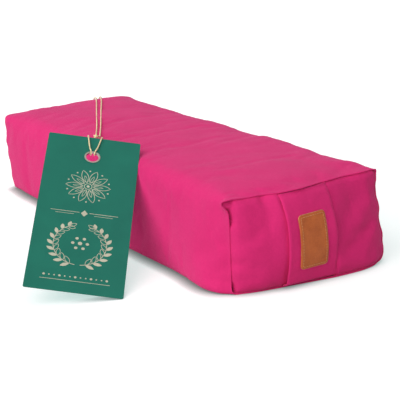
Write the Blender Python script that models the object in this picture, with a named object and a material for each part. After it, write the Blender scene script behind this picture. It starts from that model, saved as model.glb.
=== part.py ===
"""A slim yoga bolster: a zipped cotton cover with a handle at each end, over a bag of buckwheat hulls.

Metres, +Z up. The origin is on the floor under the middle of the cushion, +X runs along its length to the
end with the leather patch, and the zip is on the long side at +Y.
"""

import math

import bpy
import bmesh
from mathutils import Matrix, Vector

# The cushion between its seam corners
LENGTH = 0.650
WIDTH = 0.200
HEIGHT = 0.112

# Cloth, and the clearance left between pieces that touch
CLOTH = 0.0010
PANEL_CLOTH = 0.0012
LINER_CLOTH = 0.0008
GAP = 0.0003

# How the filling rounds and spreads the cover in the middle, and how the seams hold it at the ends
TOP_RADIUS = 0.016
FOOT_RADIUS = 0.008
SEAM_RADIUS = 0.006
LEAST_RADIUS = 0.002
SIDE_BULGE = 0.0085
BULGE_LOW = 0.55
SPREAD = 0.008
CROWN = 0.009
CORNER_LIFT = 0.007
STRAIGHT_ROOM = 0.005
END_BOW = 0.014
SIDE_SEAM_BOW = 0.003
LIP = 0.003
PANEL_BULGE = 0.0095
PANEL_ROOM = 3 * GAP

# The bag of hulls inside the cover
LINER_ROOM = 0.0030
LINER_END_ROOM = 0.008
LINER_BOW = 0.8
FILL_ROOM = 0.0006
FILL_SLIT_LENGTH = 0.120
FILL_SLIT_WIDTH = 0.0016
FILL_SLIT_DEPTH = 0.012
CLOSING_THREAD = 0.0006
CLOSING_STITCHES = 14
CLOSING_STITCH_HALF = 0.003

# Handles
STRAP_WIDTH = 0.066
STRAP_THICKNESS = 0.0020
STRAP_RISE = 0.0072
STRAP_RISE_SHARE = 0.32
STRAP_CENTRE = -0.0085

# Leather patch and its stitching
PATCH_WIDTH = 0.037
PATCH_HEIGHT = 0.062
PATCH_CENTRE_Y = -0.0088
PATCH_CENTRE_Z = 0.0535
PATCH_THICKNESS = 0.0018
PATCH_CORNER = 0.004
STITCH_INSET = 0.0024
STITCH_WIDTH = 0.0007
STITCH_HEIGHT = 0.0004
STITCH_ROOM = 1.5 * GAP

# Zip
ZIP_HEIGHT = 0.042
ZIP_SLOT = 0.013
ZIP_SLOT_HALF = 0.225
TAPE_OVERLAP = 0.008
TAPE_THICKNESS = 0.0006
TAPE_TAIL = 0.010
COIL_GAP = 0.0012
COIL_WIDTH = 0.0024
COIL_HEIGHT = 0.0020
COIL_END_ROOM = 0.007
STOP_LENGTH = 0.0025
SLIDER_HALF = 0.005
SLIDER_WIDTH = 0.0090
SLIDER_PLATE = 0.0008
WEDGE_END = -0.001
EAR_THICKNESS = 0.0014
EAR_HALF = 0.0030
EAR_OPENING_HALF = 0.0017
EAR_OPENING = 0.0022
EAR_ROOF = 0.0008
PULL_LENGTH = 0.024
PULL_WIDTH = 0.006
PULL_THICKNESS = 0.0010
PULL_CORNER = 0.0012

# Swing tag, hanging askew against the cushion with one corner of its foot on the floor
CARD_WIDTH = 0.114
CARD_HEIGHT = 0.250
CARD_THICKNESS = 0.0008
CARD_CORNER = 0.002
CARD_HEADING = math.radians(81.0)
CARD_SLOPE = math.radians(34.0)
CARD_TURN = math.radians(22.0)
CARD_FOOT = (0.2549, -0.2003)
HOLE_RADIUS = 0.0088
HOLE_FROM_TOP = 0.0340
EYELET_BORE = 0.0078
EYELET_LIP = 0.0098
EYELET_METAL = 0.0003

# Twine
TWINE = 0.0020
KNOT_RADIUS = 0.0024
KNOT_ABOVE_CARD = 0.0042
KNOT_BEHIND_CARD = 0.0006

# Mesh steps
CORNER_STEPS = 3
TOP_STEPS = 5
BASE_STEPS = 4
FRONT_STEPS = 3
MID_STEPS = 6
BLEND_STEPS = 5
BLEND_CROWDING = 1.4
PANEL_RINGS = 5
LINER_MID_STEPS = 2
LINER_BLEND_STEPS = 4
LINER_RINGS = 3
FILL_RINGS = 2
STRAP_ROWS = 17
STRAP_COLUMNS = 5
PATCH_ROWS = 9
OUTLINE_RUN = PATCH_HEIGHT / 7
CIRCLE_STEPS = 32
ROUTE_STEPS = 2

# The middle stays straight past the ends of the zip's tapes
STRAIGHT_HALF = ZIP_SLOT_HALF + TAPE_TAIL + STRAIGHT_ROOM


# Scene helpers


def clear_scene():
    for thing in list(bpy.data.objects):
        bpy.data.objects.remove(thing)


def material(name, colour, roughness, metallic=0.0):
    made = bpy.data.materials.new(name)
    made.use_nodes = True
    shader = made.node_tree.nodes["Principled BSDF"]
    shader.inputs["Base Color"].default_value = (*colour, 1.0)
    shader.inputs["Roughness"].default_value = roughness
    shader.inputs["Metallic"].default_value = metallic
    return made


def add_object(name, data, look, parent=None):
    made = bpy.data.objects.new(name, data)
    data.materials.append(look)
    made.parent = parent
    bpy.context.scene.collection.objects.link(made)
    return made


def add_empty(name, matrix):
    made = bpy.data.objects.new(name, None)
    made.matrix_world = matrix
    bpy.context.scene.collection.objects.link(made)
    return made


def mesh_from(name, points, faces):
    mesh = bpy.data.meshes.new(name)
    mesh.from_pydata([tuple(p) for p in points], [], faces)
    mesh.shade_smooth()
    mesh.set_sharp_from_angle(angle=math.radians(40))
    return mesh


def box_mesh(name, low, high):
    mesh = bpy.data.meshes.new(name)
    shape = bmesh.new()
    bmesh.ops.create_cube(shape, size=1.0)
    shape.to_mesh(mesh)
    shape.free()
    size = Vector(high) - Vector(low)
    middle = (Vector(high) + Vector(low)) / 2
    mesh.transform(Matrix.Translation(middle) @ Matrix.Diagonal((*size, 1.0)))
    return mesh


def add_tool(name, low, high, parent=None):
    """A block that only cuts or joins, and isn't part of the object."""
    tool = bpy.data.objects.new(name, box_mesh(name, low, high))
    tool.parent = parent
    tool.hide_render = True
    tool.display_type = "WIRE"
    bpy.context.scene.collection.objects.link(tool)
    return tool


def thicken(piece, thickness, outward):
    solid = piece.modifiers.new("Thickness", "SOLIDIFY")
    solid.thickness = thickness
    solid.offset = 1.0 if outward else -1.0
    return piece


def mix(a, b, share):
    return a + (b - a) * share


# Shape of the cushion


def blend_at(x):
    """0 along the straight middle, rising to 1 at the end seams."""
    share = max(0.0, (abs(x) - STRAIGHT_HALF) / (LENGTH / 2 - STRAIGHT_HALF))
    return min(1.0, share) ** 2


def puffed(y, z, inset, base, blend):
    """A point of the plain rounded section, pushed out by the filling; only the back corners lift."""
    across = y / (WIDTH / 2 - inset)
    up = (z - base) / (HEIGHT - inset - base)
    level = max(up, 0.0) ** BULGE_LOW
    side = (1 - blend) * (SIDE_BULGE * 4 * level * (1 - level) + SPREAD * (1 - up) ** 2)
    crown = (1 - blend) * CROWN * (1 - across**4) * up**2
    lift = CORNER_LIFT * blend**2 * max(across, 0.0) ** 4 * (1 - up)
    return y + across * side, z + crown + lift


def arc(centre_y, centre_z, radius, start):
    points = []
    for step in range(CORNER_STEPS + 1):
        angle = math.radians(start + 90 * step / CORNER_STEPS)
        points.append((centre_y + radius * math.cos(angle), centre_z + radius * math.sin(angle)))
    return points


def between(first, last, steps):
    return [
        (mix(first[0], last[0], step / steps), mix(first[1], last[1], step / steps))
        for step in range(1, steps)
    ]


def strip_heights():
    """Heights of the flat strip that the zip is sewn to: its edges, and the edges of the slot in it."""
    slot = ZIP_SLOT / 2
    strip = slot + TAPE_OVERLAP
    return ZIP_HEIGHT - strip, ZIP_HEIGHT - slot, ZIP_HEIGHT + slot, ZIP_HEIGHT + strip


def section(inset, base, blend):
    """Points (y, z) round the cushion, from under its back edge, up the back, over and round."""
    half = WIDTH / 2 - inset
    top = HEIGHT - inset
    radius = max(mix(TOP_RADIUS, SEAM_RADIUS, blend) - inset, LEAST_RADIUS)
    foot = max(mix(FOOT_RADIUS, SEAM_RADIUS, blend) - base, LEAST_RADIUS)
    low_back = arc(half - foot, base + foot, foot, -90)
    high_back = arc(half - radius, top - radius, radius, 0)
    high_front = arc(radius - half, top - radius, radius, 90)
    low_front = arc(foot - half, base + foot, foot, 180)
    strip = [(half, z) for z in strip_heights()]
    back = strip + between(strip[-1], high_back[0], 2)
    over = between(high_back[-1], high_front[0], TOP_STEPS)
    front = between(high_front[-1], low_front[0], FRONT_STEPS)
    under = between(low_front[-1], low_back[0], BASE_STEPS)
    plain = low_back + back + high_back + over + high_front + front + low_front + under
    points = [puffed(y, z, inset, base, blend) for y, z in plain]
    first = len(low_back)
    low, high = points[first], points[first + 3]
    lows = strip_heights()
    for index in (1, 2):
        share = (lows[index] - lows[0]) / (lows[3] - lows[0])
        points[first + index] = (mix(low[0], high[0], share), mix(low[1], high[1], share))
    return points


SLOT_INDEX = CORNER_STEPS + 2


def end_bow(y, z):
    """How far the end seam stands out past its corners."""
    across = min(1.0, abs(y) / (WIDTH / 2))
    up = min(1.0, max(0.0, z / HEIGHT))
    return END_BOW * (1 - across**2) + SIDE_SEAM_BOW * across**2 * (1 - (2 * up - 1) ** 2)


def stations(mid_steps=MID_STEPS, blend_steps=BLEND_STEPS):
    """Where the section is taken along the length, ends first."""
    middle = [mix(-ZIP_SLOT_HALF, ZIP_SLOT_HALF, step / mid_steps) for step in range(mid_steps + 1)]
    taper = []
    for step in range(blend_steps + 1):
        share = 1 - (1 - step / blend_steps) ** BLEND_CROWDING
        taper.append(mix(STRAIGHT_HALF, LENGTH / 2, share))
    return [-x for x in reversed(taper)] + middle + taper


def cushion_rows(inset, base, end_room, bow, along):
    """Rings of points along a layer of the cushion, inset from the cover."""
    rows = []
    for x in along:
        blend = blend_at(x)
        shrink = 1 - end_room / (LENGTH / 2)
        ring = []
        for y, z in section(inset, base, blend):
            out = math.copysign(bow * end_bow(y, z) * blend, x)
            ring.append(Vector((x * shrink + out, y, z)))
        rows.append(ring)
    return rows


def tube_faces(rows, skipped=()):
    count = len(rows[0])
    faces = []
    for i in range(len(rows) - 1):
        for j in range(count):
            if (i, j) in skipped:
                continue
            k = (j + 1) % count
            faces.append((i * count + j, i * count + k, (i + 1) * count + k, (i + 1) * count + j))
    return faces


def shrunk_rings(outline, rings, bulge):
    """Rings from a closed outline in to its middle, with x pushed out by bulge(y, z)."""
    middle = sum(outline, Vector()) / len(outline)
    made = []
    for step in range(rings):
        share = 1 - step / rings
        ring = [middle + (point - middle) * share for point in outline]
        made.append([Vector((bulge(p.y, p.z), p.y, p.z)) for p in ring])
    made.append([Vector((bulge(middle.y, middle.z), middle.y, middle.z))])
    return made


def disc_faces(rings, start, flip):
    """Faces of a disc whose rings are stored one after another from index start, the middle last."""
    count = len(rings[0])
    faces = []
    for i in range(len(rings) - 2):
        for j in range(count):
            k = (j + 1) % count
            outer, inner = start + i * count, start + (i + 1) * count
            faces.append((outer + j, outer + k, inner + k, inner + j))
    last = start + (len(rings) - 2) * count
    for j in range(count):
        faces.append((last + j, last + (j + 1) % count, last + count))
    return [face[::-1] for face in faces] if flip else faces


def flat(rings):
    return [point for ring in rings for point in ring]


# Cover


def make_body_panel(look):
    rows = cushion_rows(0.0, 0.0, 0.0, 1.0, stations())
    first = stations().index(-ZIP_SLOT_HALF)
    slot = {(first + step, SLOT_INDEX) for step in range(MID_STEPS)}
    mesh = mesh_from("cover_body_panel", flat(rows), tube_faces(rows, slot))
    return thicken(add_object("cover_body_panel", mesh, look), CLOTH, False)


def panel_x(y, z):
    """Outer face of the near end panel."""
    across = min(1.0, abs(y) / (WIDTH / 2))
    up = min(1.0, max(0.0, z / HEIGHT))
    bulge = PANEL_BULGE * (1 - across**4) * (1 - (2 * up - 1) ** 2)
    return LENGTH / 2 - LIP + end_bow(y, z) + bulge


def make_end_panel(name, side, look):
    inset = CLOTH + PANEL_ROOM
    outline = [Vector((0.0, y, z)) for y, z in section(inset, inset, 1.0)]
    rings = shrunk_rings(outline, PANEL_RINGS, lambda y, z: side * panel_x(y, z))
    mesh = mesh_from(name, flat(rings), disc_faces(rings, 0, side < 0))
    return thicken(add_object(name, mesh, look), PANEL_CLOTH, False)


# Handles and patch


def strap_ends():
    """Heights of a handle's sewn ends, inside the lips of the cover."""
    room = CLOTH + 2 * GAP + STRAP_THICKNESS / 2
    return room, HEIGHT - room


def strap_x(y, z):
    """Inner face of the near handle: sewn to the panel at top and bottom, standing off it between."""
    low, high = strap_ends()
    share = min(1.0, max(0.0, (z - low) / (high - low)))
    near_end = min(1.0, min(share, 1 - share) / STRAP_RISE_SHARE)
    swell = near_end**2 * (3 - 2 * near_end)
    return mix(panel_x(y, z), panel_x(0.0, z), swell) + GAP + STRAP_RISE * swell


def sheet_faces(rows, columns):
    faces = []
    for i in range(rows - 1):
        for j in range(columns - 1):
            first = columns * i + j
            faces.append((first, first + 1, first + 1 + columns, first + columns))
    return faces


def make_strap(name, side, centre, look):
    low, high = strap_ends()
    rows = []
    for i in range(STRAP_ROWS):
        z = mix(low, high, i / (STRAP_ROWS - 1))
        row = []
        for j in range(STRAP_COLUMNS):
            y = centre + STRAP_WIDTH * (j / (STRAP_COLUMNS - 1) - 0.5)
            row.append(Vector((side * strap_x(y, z), y, z)))
        rows.append(row)
    faces = sheet_faces(STRAP_ROWS, STRAP_COLUMNS)
    if side < 0:
        faces = [face[::-1] for face in faces]
    mesh = mesh_from(name, flat(rows), faces)
    return thicken(add_object(name, mesh, look), STRAP_THICKNESS, True)


def rounded_outline(width, height, corner, steps=3):
    """Counterclockwise outline of a rectangle with round corners, about its middle."""
    points = []
    for index, (sx, sy) in enumerate(((1, -1), (1, 1), (-1, 1), (-1, -1))):
        for step in range(steps + 1):
            angle = math.radians(90 * index - 90 + 90 * step / steps)
            points.append((
                sx * (width / 2 - corner) + corner * math.cos(angle),
                sy * (height / 2 - corner) + corner * math.sin(angle),
            ))
    return points


def subdivided(outline, longest):
    """The same outline with its long runs cut so that it can follow a curved face."""
    points = []
    for index, point in enumerate(outline):
        after = outline[(index + 1) % len(outline)]
        parts = max(1, math.ceil(math.dist(point, after) / longest))
        for part in range(parts):
            points.append((mix(point[0], after[0], part / parts), mix(point[1], after[1], part / parts)))
    return points


def patch_face_x(y, z):
    """Just clear of the handle's outer face, which lies further out where the handle slopes."""
    step = 0.001
    slope = (strap_x(y, z + step) - strap_x(y, z - step)) / (2 * step)
    return strap_x(y, z) + STRAP_THICKNESS * math.hypot(1.0, slope) + 2 * GAP


def patch_outline(inset):
    outline = rounded_outline(PATCH_WIDTH - 2 * inset, PATCH_HEIGHT - 2 * inset, PATCH_CORNER - inset / 2)
    points = subdivided(outline, OUTLINE_RUN)
    return [Vector((0.0, PATCH_CENTRE_Y + y, PATCH_CENTRE_Z + z)) for y, z in points]


def make_patch(look):
    """Rows of points up the patch, narrowed at its round corners, laid on the handle."""
    turn = math.pi / 2 / CORNER_STEPS
    corner = [PATCH_CORNER * (1 - math.cos(turn * step)) for step in range(CORNER_STEPS + 1)]
    straight = between((PATCH_CORNER, 0.0), (PATCH_HEIGHT - PATCH_CORNER, 0.0), PATCH_ROWS)
    heights = corner + [up for up, _ in straight] + [PATCH_HEIGHT - up for up in reversed(corner)]
    rows = []
    for up in heights:
        short = max(0.0, PATCH_CORNER - min(up, PATCH_HEIGHT - up))
        half = PATCH_WIDTH / 2 - PATCH_CORNER + math.sqrt(PATCH_CORNER**2 - short**2)
        z = PATCH_CENTRE_Z - PATCH_HEIGHT / 2 + up
        row = [PATCH_CENTRE_Y + mix(-half, half, j / (STRAP_COLUMNS - 1)) for j in range(STRAP_COLUMNS)]
        rows.append([Vector((patch_face_x(y, z), y, z)) for y in row])
    mesh = mesh_from("leather_patch", flat(rows), sheet_faces(len(rows), STRAP_COLUMNS))
    return thicken(add_object("leather_patch", mesh, look), PATCH_THICKNESS, True)


def make_patch_stitching(look):
    """The thread round the patch, as one closed band on the leather."""
    outer = patch_outline(STITCH_INSET)
    middle = sum(outer, Vector()) / len(outer)
    inner = [point + (middle - point).normalized() * STITCH_WIDTH for point in outer]
    above = PATCH_THICKNESS + STITCH_ROOM
    lifted = [Vector((patch_face_x(p.y, p.z) + above, p.y, p.z)) for p in [*outer, *inner]]
    count = len(outer)
    faces = [(j, (j + 1) % count, count + (j + 1) % count, count + j) for j in range(count)]
    mesh = mesh_from("patch_stitching", lifted, faces)
    return thicken(add_object("patch_stitching", mesh, look), STITCH_HEIGHT, True)


# Bag of hulls


def make_liner(look):
    inset = CLOTH + LINER_ROOM
    along = stations(LINER_MID_STEPS, LINER_BLEND_STEPS)
    rows = cushion_rows(inset, CLOTH + GAP, LINER_END_ROOM, LINER_BOW, along)
    mesh = closed_bag("liner_bag", rows, LINER_RINGS, liner_end_x)
    liner = thicken(add_object("liner_bag", mesh, look), LINER_CLOTH, False)
    middle = Vector((-liner_end_x(0.0, HEIGHT / 2), 0.0, HEIGHT / 2))
    half = Vector((FILL_SLIT_DEPTH, FILL_SLIT_LENGTH, FILL_SLIT_WIDTH)) / 2
    cut = liner.modifiers.new("Fill slit", "BOOLEAN")
    cut.object = add_tool("liner_fill_slit", middle - half, middle + half)
    return liner


def liner_end_x(y, z):
    return LENGTH / 2 - LINER_END_ROOM + LINER_BOW * end_bow(y, z)


def add_end(points, faces, rings, first, flip):
    """Closes one end of a tube whose last ring starts at index first with a disc."""
    count = len(rings[0])
    start = len(points)
    points = points + flat(rings[1:])
    shifted = []
    for face in disc_faces(rings, 0, flip):
        shifted.append(tuple(first + i if i < count else start + i - count for i in face))
    return points, faces + shifted


def closed_bag(name, rows, rings, end_x):
    """A tube of rows closed at both ends by discs whose x is given by end_x(y, z)."""
    near = shrunk_rings(rows[-1], rings, end_x)
    far = shrunk_rings(rows[0], rings, lambda y, z: -end_x(y, z))
    last = (len(rows) - 1) * len(rows[0])
    points, faces = add_end(flat(rows), tube_faces(rows), near, last, False)
    points, faces = add_end(points, faces, far, 0, True)
    return mesh_from(name, points, faces)


def make_closing_thread(look):
    """Whipping thread that zigzags over the lips of the slit once the bag is full."""
    points = []
    half = FILL_SLIT_LENGTH / 2
    for step in range(CLOSING_STITCHES + 1):
        y = mix(-half, half, step / CLOSING_STITCHES)
        z = HEIGHT / 2 + (CLOSING_STITCH_HALF if step % 2 else -CLOSING_STITCH_HALF)
        points.append(Vector((-liner_end_x(y, z) - CLOSING_THREAD / 2 - 2 * GAP, y, z)))
    return make_tube("liner_closing_thread", points, CLOSING_THREAD, look)


def make_filling(look):
    inset = CLOTH + LINER_ROOM + LINER_CLOTH + FILL_ROOM
    base = CLOTH + GAP + LINER_CLOTH + GAP
    end_room = LINER_END_ROOM + LINER_CLOTH + FILL_ROOM
    along = stations(LINER_MID_STEPS, LINER_BLEND_STEPS)
    rows = cushion_rows(inset, base, end_room, LINER_BOW, along)
    mesh = closed_bag("buckwheat_filling", rows, FILL_RINGS,
                      lambda y, z: liner_end_x(y, z) - LINER_CLOTH - FILL_ROOM)
    return add_object("buckwheat_filling", mesh, look)


# Zip


def zip_frame():
    """x along the zip as it opens, y up the strip, z out of the cover; origin on the cover's outer face."""
    points = section(0.0, 0.0, 0.0)
    low = Vector((0.0, *points[SLOT_INDEX]))
    high = Vector((0.0, *points[SLOT_INDEX + 1]))
    along = Vector((-1.0, 0.0, 0.0))
    up = (high - low).normalized()
    out = along.cross(up)
    matrix = Matrix((along, up, out)).transposed().to_4x4()
    matrix.translation = (low + high) / 2
    return matrix


TAPE_TOP = -(CLOTH + GAP)
TAPE_UNDER = TAPE_TOP - TAPE_THICKNESS
COIL_FOOT = TAPE_TOP + GAP
COIL_TOP = COIL_FOOT + COIL_HEIGHT
COIL_HALF = ZIP_SLOT_HALF - COIL_END_ROOM
SLIDER_CLOSED = SLIDER_HALF - COIL_HALF
SLIDER_TRAVEL = 2 * (COIL_HALF - SLIDER_HALF)
PLATE_TOP = COIL_TOP + GAP + SLIDER_PLATE
PULL_AXIS = PLATE_TOP + EAR_OPENING / 2


def make_tapes(frame, look):
    inner = COIL_GAP / 2
    outer = ZIP_SLOT / 2 + TAPE_OVERLAP - GAP
    half = ZIP_SLOT_HALF + TAPE_TAIL
    for name, side in (("zip_tape_upper", 1), ("zip_tape_lower", -1)):
        edges = sorted((side * inner, side * outer))
        mesh = box_mesh(name, (-half, edges[0], TAPE_UNDER), (half, edges[1], TAPE_TOP))
        add_object(name, mesh, look, frame)


def make_coils(frame, look):
    inner = COIL_GAP / 2
    for name, side in (("zip_coil_upper", 1), ("zip_coil_lower", -1)):
        edges = sorted((side * inner, side * (inner + COIL_WIDTH)))
        mesh = box_mesh(name, (-COIL_HALF, edges[0], COIL_FOOT), (COIL_HALF, edges[1], COIL_TOP))
        add_object(name, mesh, look, frame)


def make_stops(frame, look):
    inner = COIL_GAP / 2
    outer = inner + COIL_WIDTH
    near = COIL_HALF + GAP
    far = near + STOP_LENGTH
    for name, side in (("zip_top_stop_upper", 1), ("zip_top_stop_lower", -1)):
        edges = sorted((side * inner, side * outer))
        mesh = box_mesh(name, (-far, edges[0], COIL_FOOT), (-near, edges[1], PLATE_TOP))
        add_object(name, mesh, look, frame)
    mesh = box_mesh("zip_bottom_stop", (near, -outer, COIL_FOOT), (far, outer, PLATE_TOP))
    add_object("zip_bottom_stop", mesh, look, frame)


def make_slider(frame, look):
    """Two plates joined by the wedge between the coils, with the ear that holds the pull."""
    half = SLIDER_WIDTH / 2
    low = (-SLIDER_HALF, -half, PLATE_TOP - SLIDER_PLATE)
    high = (SLIDER_HALF, half, PLATE_TOP)
    slider = add_object("zip_slider", box_mesh("zip_slider", low, high), look, frame)
    slider.location = (SLIDER_CLOSED, 0.0, 0.0)
    under = TAPE_UNDER - GAP
    wedge = COIL_GAP / 2 - GAP
    sink = SLIDER_PLATE / 2
    ear = EAR_THICKNESS / 2
    roof = PLATE_TOP + EAR_OPENING
    top = roof + EAR_ROOF
    parts = {
        "slider_under_plate": ((-SLIDER_HALF, -half, under - SLIDER_PLATE), (SLIDER_HALF, half, under)),
        "slider_wedge": ((-SLIDER_HALF, -wedge, under - sink), (WEDGE_END, wedge, PLATE_TOP - sink)),
        "slider_ear_front": ((-EAR_HALF, -ear, PLATE_TOP - sink), (-EAR_OPENING_HALF, ear, top)),
        "slider_ear_back": ((EAR_OPENING_HALF, -ear, PLATE_TOP - sink), (EAR_HALF, ear, top)),
        "slider_ear_roof": ((-EAR_HALF, -ear, roof), (EAR_HALF, ear, top)),
    }
    for name, (low, high) in parts.items():
        join = slider.modifiers.new(name, "BOOLEAN")
        join.operation = "UNION"
        join.object = add_tool(name, low, high, slider)
    return slider


def make_pull(slider, look):
    """A flat tab whose end bar passes under the slider's ear; the bar is the hinge axis."""
    bar = PULL_THICKNESS / 2
    reach = math.hypot(EAR_HALF, EAR_OPENING / 2 + EAR_ROOF) + GAP
    hole_middle = (bar + reach) / 2
    outline = rounded_outline(PULL_LENGTH, PULL_WIDTH, PULL_CORNER)
    hole = rounded_outline(reach - bar, EAR_THICKNESS + 2 * GAP, GAP)
    curve = flat_curve(
        "zip_pull_tab",
        [
            [(x + PULL_LENGTH / 2 - bar, y) for x, y in outline],
            [(x + hole_middle, y) for x, y in hole],
        ],
        PULL_THICKNESS,
    )
    pull = add_object("zip_pull_tab", curve, look, slider)
    pull.location = (0.0, 0.0, PULL_AXIS)
    return pull


def flat_curve(name, outlines, thickness):
    """A flat plate in x and y from closed outlines, the later ones being holes."""
    curve = bpy.data.curves.new(name, "CURVE")
    curve.dimensions = "2D"
    curve.fill_mode = "BOTH"
    curve.extrude = thickness / 2
    for outline in outlines:
        spline = curve.splines.new("POLY")
        spline.points.add(len(outline) - 1)
        for point, (x, y) in zip(spline.points, outline):
            point.co = (x, y, 0.0, 1.0)
        spline.use_cyclic_u = True
    return curve


# Swing tag


def card_frame():
    """x across the card, y up it, z out of its face; origin at the middle of its foot."""
    level = Vector((math.cos(CARD_HEADING), math.sin(CARD_HEADING), 0.0))
    behind = Vector((-math.sin(CARD_HEADING), math.cos(CARD_HEADING), 0.0))
    steep = behind * math.cos(CARD_SLOPE) + Vector((0.0, 0.0, math.sin(CARD_SLOPE)))
    across = level * math.cos(CARD_TURN) - steep * math.sin(CARD_TURN)
    up = steep * math.cos(CARD_TURN) + level * math.sin(CARD_TURN)
    matrix = Matrix((across, up, across.cross(up))).transposed().to_4x4()
    corner = Vector((*CARD_FOOT, CARD_THICKNESS / 2 * math.cos(CARD_SLOPE)))
    matrix.translation = corner - across * CARD_WIDTH / 2
    return matrix


def knot_place():
    return Vector((0.0, CARD_HEIGHT + KNOT_ABOVE_CARD, -KNOT_BEHIND_CARD))


def circle(radius):
    angles = [2 * math.pi * step / CIRCLE_STEPS for step in range(CIRCLE_STEPS)]
    return [(radius * math.cos(angle), radius * math.sin(angle)) for angle in angles]


def make_card(pivot, look):
    """The card's object stands at the knot that it swings from."""
    knot = knot_place()
    outline = rounded_outline(CARD_WIDTH, CARD_HEIGHT, CARD_CORNER)
    hole_y = CARD_HEIGHT - HOLE_FROM_TOP - knot.y
    curve = flat_curve(
        "tag_card",
        [
            [(x, y + CARD_HEIGHT / 2 - knot.y) for x, y in outline],
            [(x, y + hole_y) for x, y in circle(HOLE_RADIUS)],
        ],
        CARD_THICKNESS,
    )
    card = add_object("tag_card", curve, look, pivot)
    card.location = (0.0, 0.0, -knot.z)
    return card


def make_eyelet(pivot, look):
    """A turned metal ring, clenched over both faces of the card."""
    knot = knot_place()
    face = CARD_THICKNESS / 2 + GAP
    barrel = HOLE_RADIUS - GAP
    profile = [
        (EYELET_BORE, -face - EYELET_METAL),
        (EYELET_LIP, -face - EYELET_METAL),
        (EYELET_LIP, -face),
        (barrel, -face),
        (barrel, face),
        (EYELET_LIP, face),
        (EYELET_LIP, face + EYELET_METAL),
        (EYELET_BORE, face + EYELET_METAL),
    ]
    turned = [circle(radius) for radius, _ in profile]
    points = []
    for step in range(CIRCLE_STEPS):
        for (_, height), ring in zip(profile, turned):
            points.append((*ring[step], height))
    count = len(profile)
    faces = []
    for i in range(CIRCLE_STEPS):
        for j in range(count):
            here, there = i * count, (i + 1) % CIRCLE_STEPS * count
            k = (j + 1) % count
            faces.append((here + j, there + j, there + k, here + k))
    ring = add_object("tag_eyelet", mesh_from("tag_eyelet", points, faces), look, pivot)
    ring.location = (0.0, CARD_HEIGHT - HOLE_FROM_TOP - knot.y, -knot.z)
    return ring


# Twine


def smooth_route(route):
    """Points along a smooth curve through the route's own points."""
    padded = [route[0] * 2 - route[1], *route, route[-1] * 2 - route[-2]]
    points = []
    for index in range(1, len(padded) - 2):
        a, b, c, d = padded[index - 1 : index + 3]
        for step in range(ROUTE_STEPS):
            t = step / ROUTE_STEPS
            square = (a * 2 - b * 5 + c * 4 - d) * t**2
            cube = (b * 3 - a - c * 3 + d) * t**3
            points.append((b * 2 + (c - a) * t + square + cube) / 2)
    points.append(route[-1])
    return points


def make_tube(name, points, diameter, look, parent=None):
    curve = bpy.data.curves.new(name, "CURVE")
    curve.dimensions = "3D"
    curve.bevel_depth = diameter / 2
    curve.bevel_resolution = 2
    curve.use_fill_caps = True
    spline = curve.splines.new("POLY")
    spline.points.add(len(points) - 1)
    for point, place in zip(spline.points, points):
        point.co = (*place, 1.0)
    return add_object(name, curve, look, parent)


def make_tag_loop(pivot, look):
    """The hitch on the card: down behind, out through the eyelet, up the front in a V and over the top."""
    knot = knot_place()
    top = CARD_HEIGHT - knot.y
    hole = top - HOLE_FROM_TOP
    face = CARD_THICKNESS / 2 + GAP + EYELET_METAL + GAP + TWINE / 2
    side = [
        Vector((-0.0018, -0.0028, knot.z - 0.0013)),
        Vector((-0.0030, top - 0.0040, -face)),
        Vector((-0.0034, hole + 0.0150, -face)),
        Vector((-0.0027, hole + 0.0088, -face - 0.0002)),
        Vector((-0.0022, hole + 0.0062, -0.0019)),
        Vector((-0.0020, hole + 0.0054, 0.0)),
        Vector((-0.0022, hole + 0.0062, 0.0019)),
        Vector((-0.0028, hole + 0.0090, face + 0.0002)),
        Vector((-0.0050, hole + 0.0160, face)),
        Vector((-0.0080, top - 0.0024, face)),
        Vector((-0.0086, top + 0.0010, 0.0016)),
        Vector((-0.0088, top + 0.0020, 0.0)),
        Vector((-0.0086, top + 0.0010, -0.0017)),
        Vector((-0.0080, top - 0.0040, -face)),
        Vector((-0.0068, top - 0.0085, -face - 0.0006)),
        Vector((-0.0052, top - 0.0102, -face - 0.0014)),
        Vector((-0.0030, top - 0.0112, -face - 0.0027)),
    ]
    under = Vector((0.0, top - 0.0115, -face - 0.0028))
    other = [Vector((-p.x, p.y, p.z)) for p in reversed(side)]
    route = [Vector((p.x, p.y, p.z - knot.z)) for p in [*side, under, *other]]
    return make_tube("tag_loop", smooth_route(route), TWINE, look, pivot)


def make_knot(pivot, look):
    mesh = bpy.data.meshes.new("tag_knot")
    shape = bmesh.new()
    bmesh.ops.create_uvsphere(shape, u_segments=16, v_segments=10, radius=KNOT_RADIUS)
    shape.to_mesh(mesh)
    shape.free()
    mesh.shade_smooth()
    return add_object("tag_knot", mesh, look, pivot)


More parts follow.
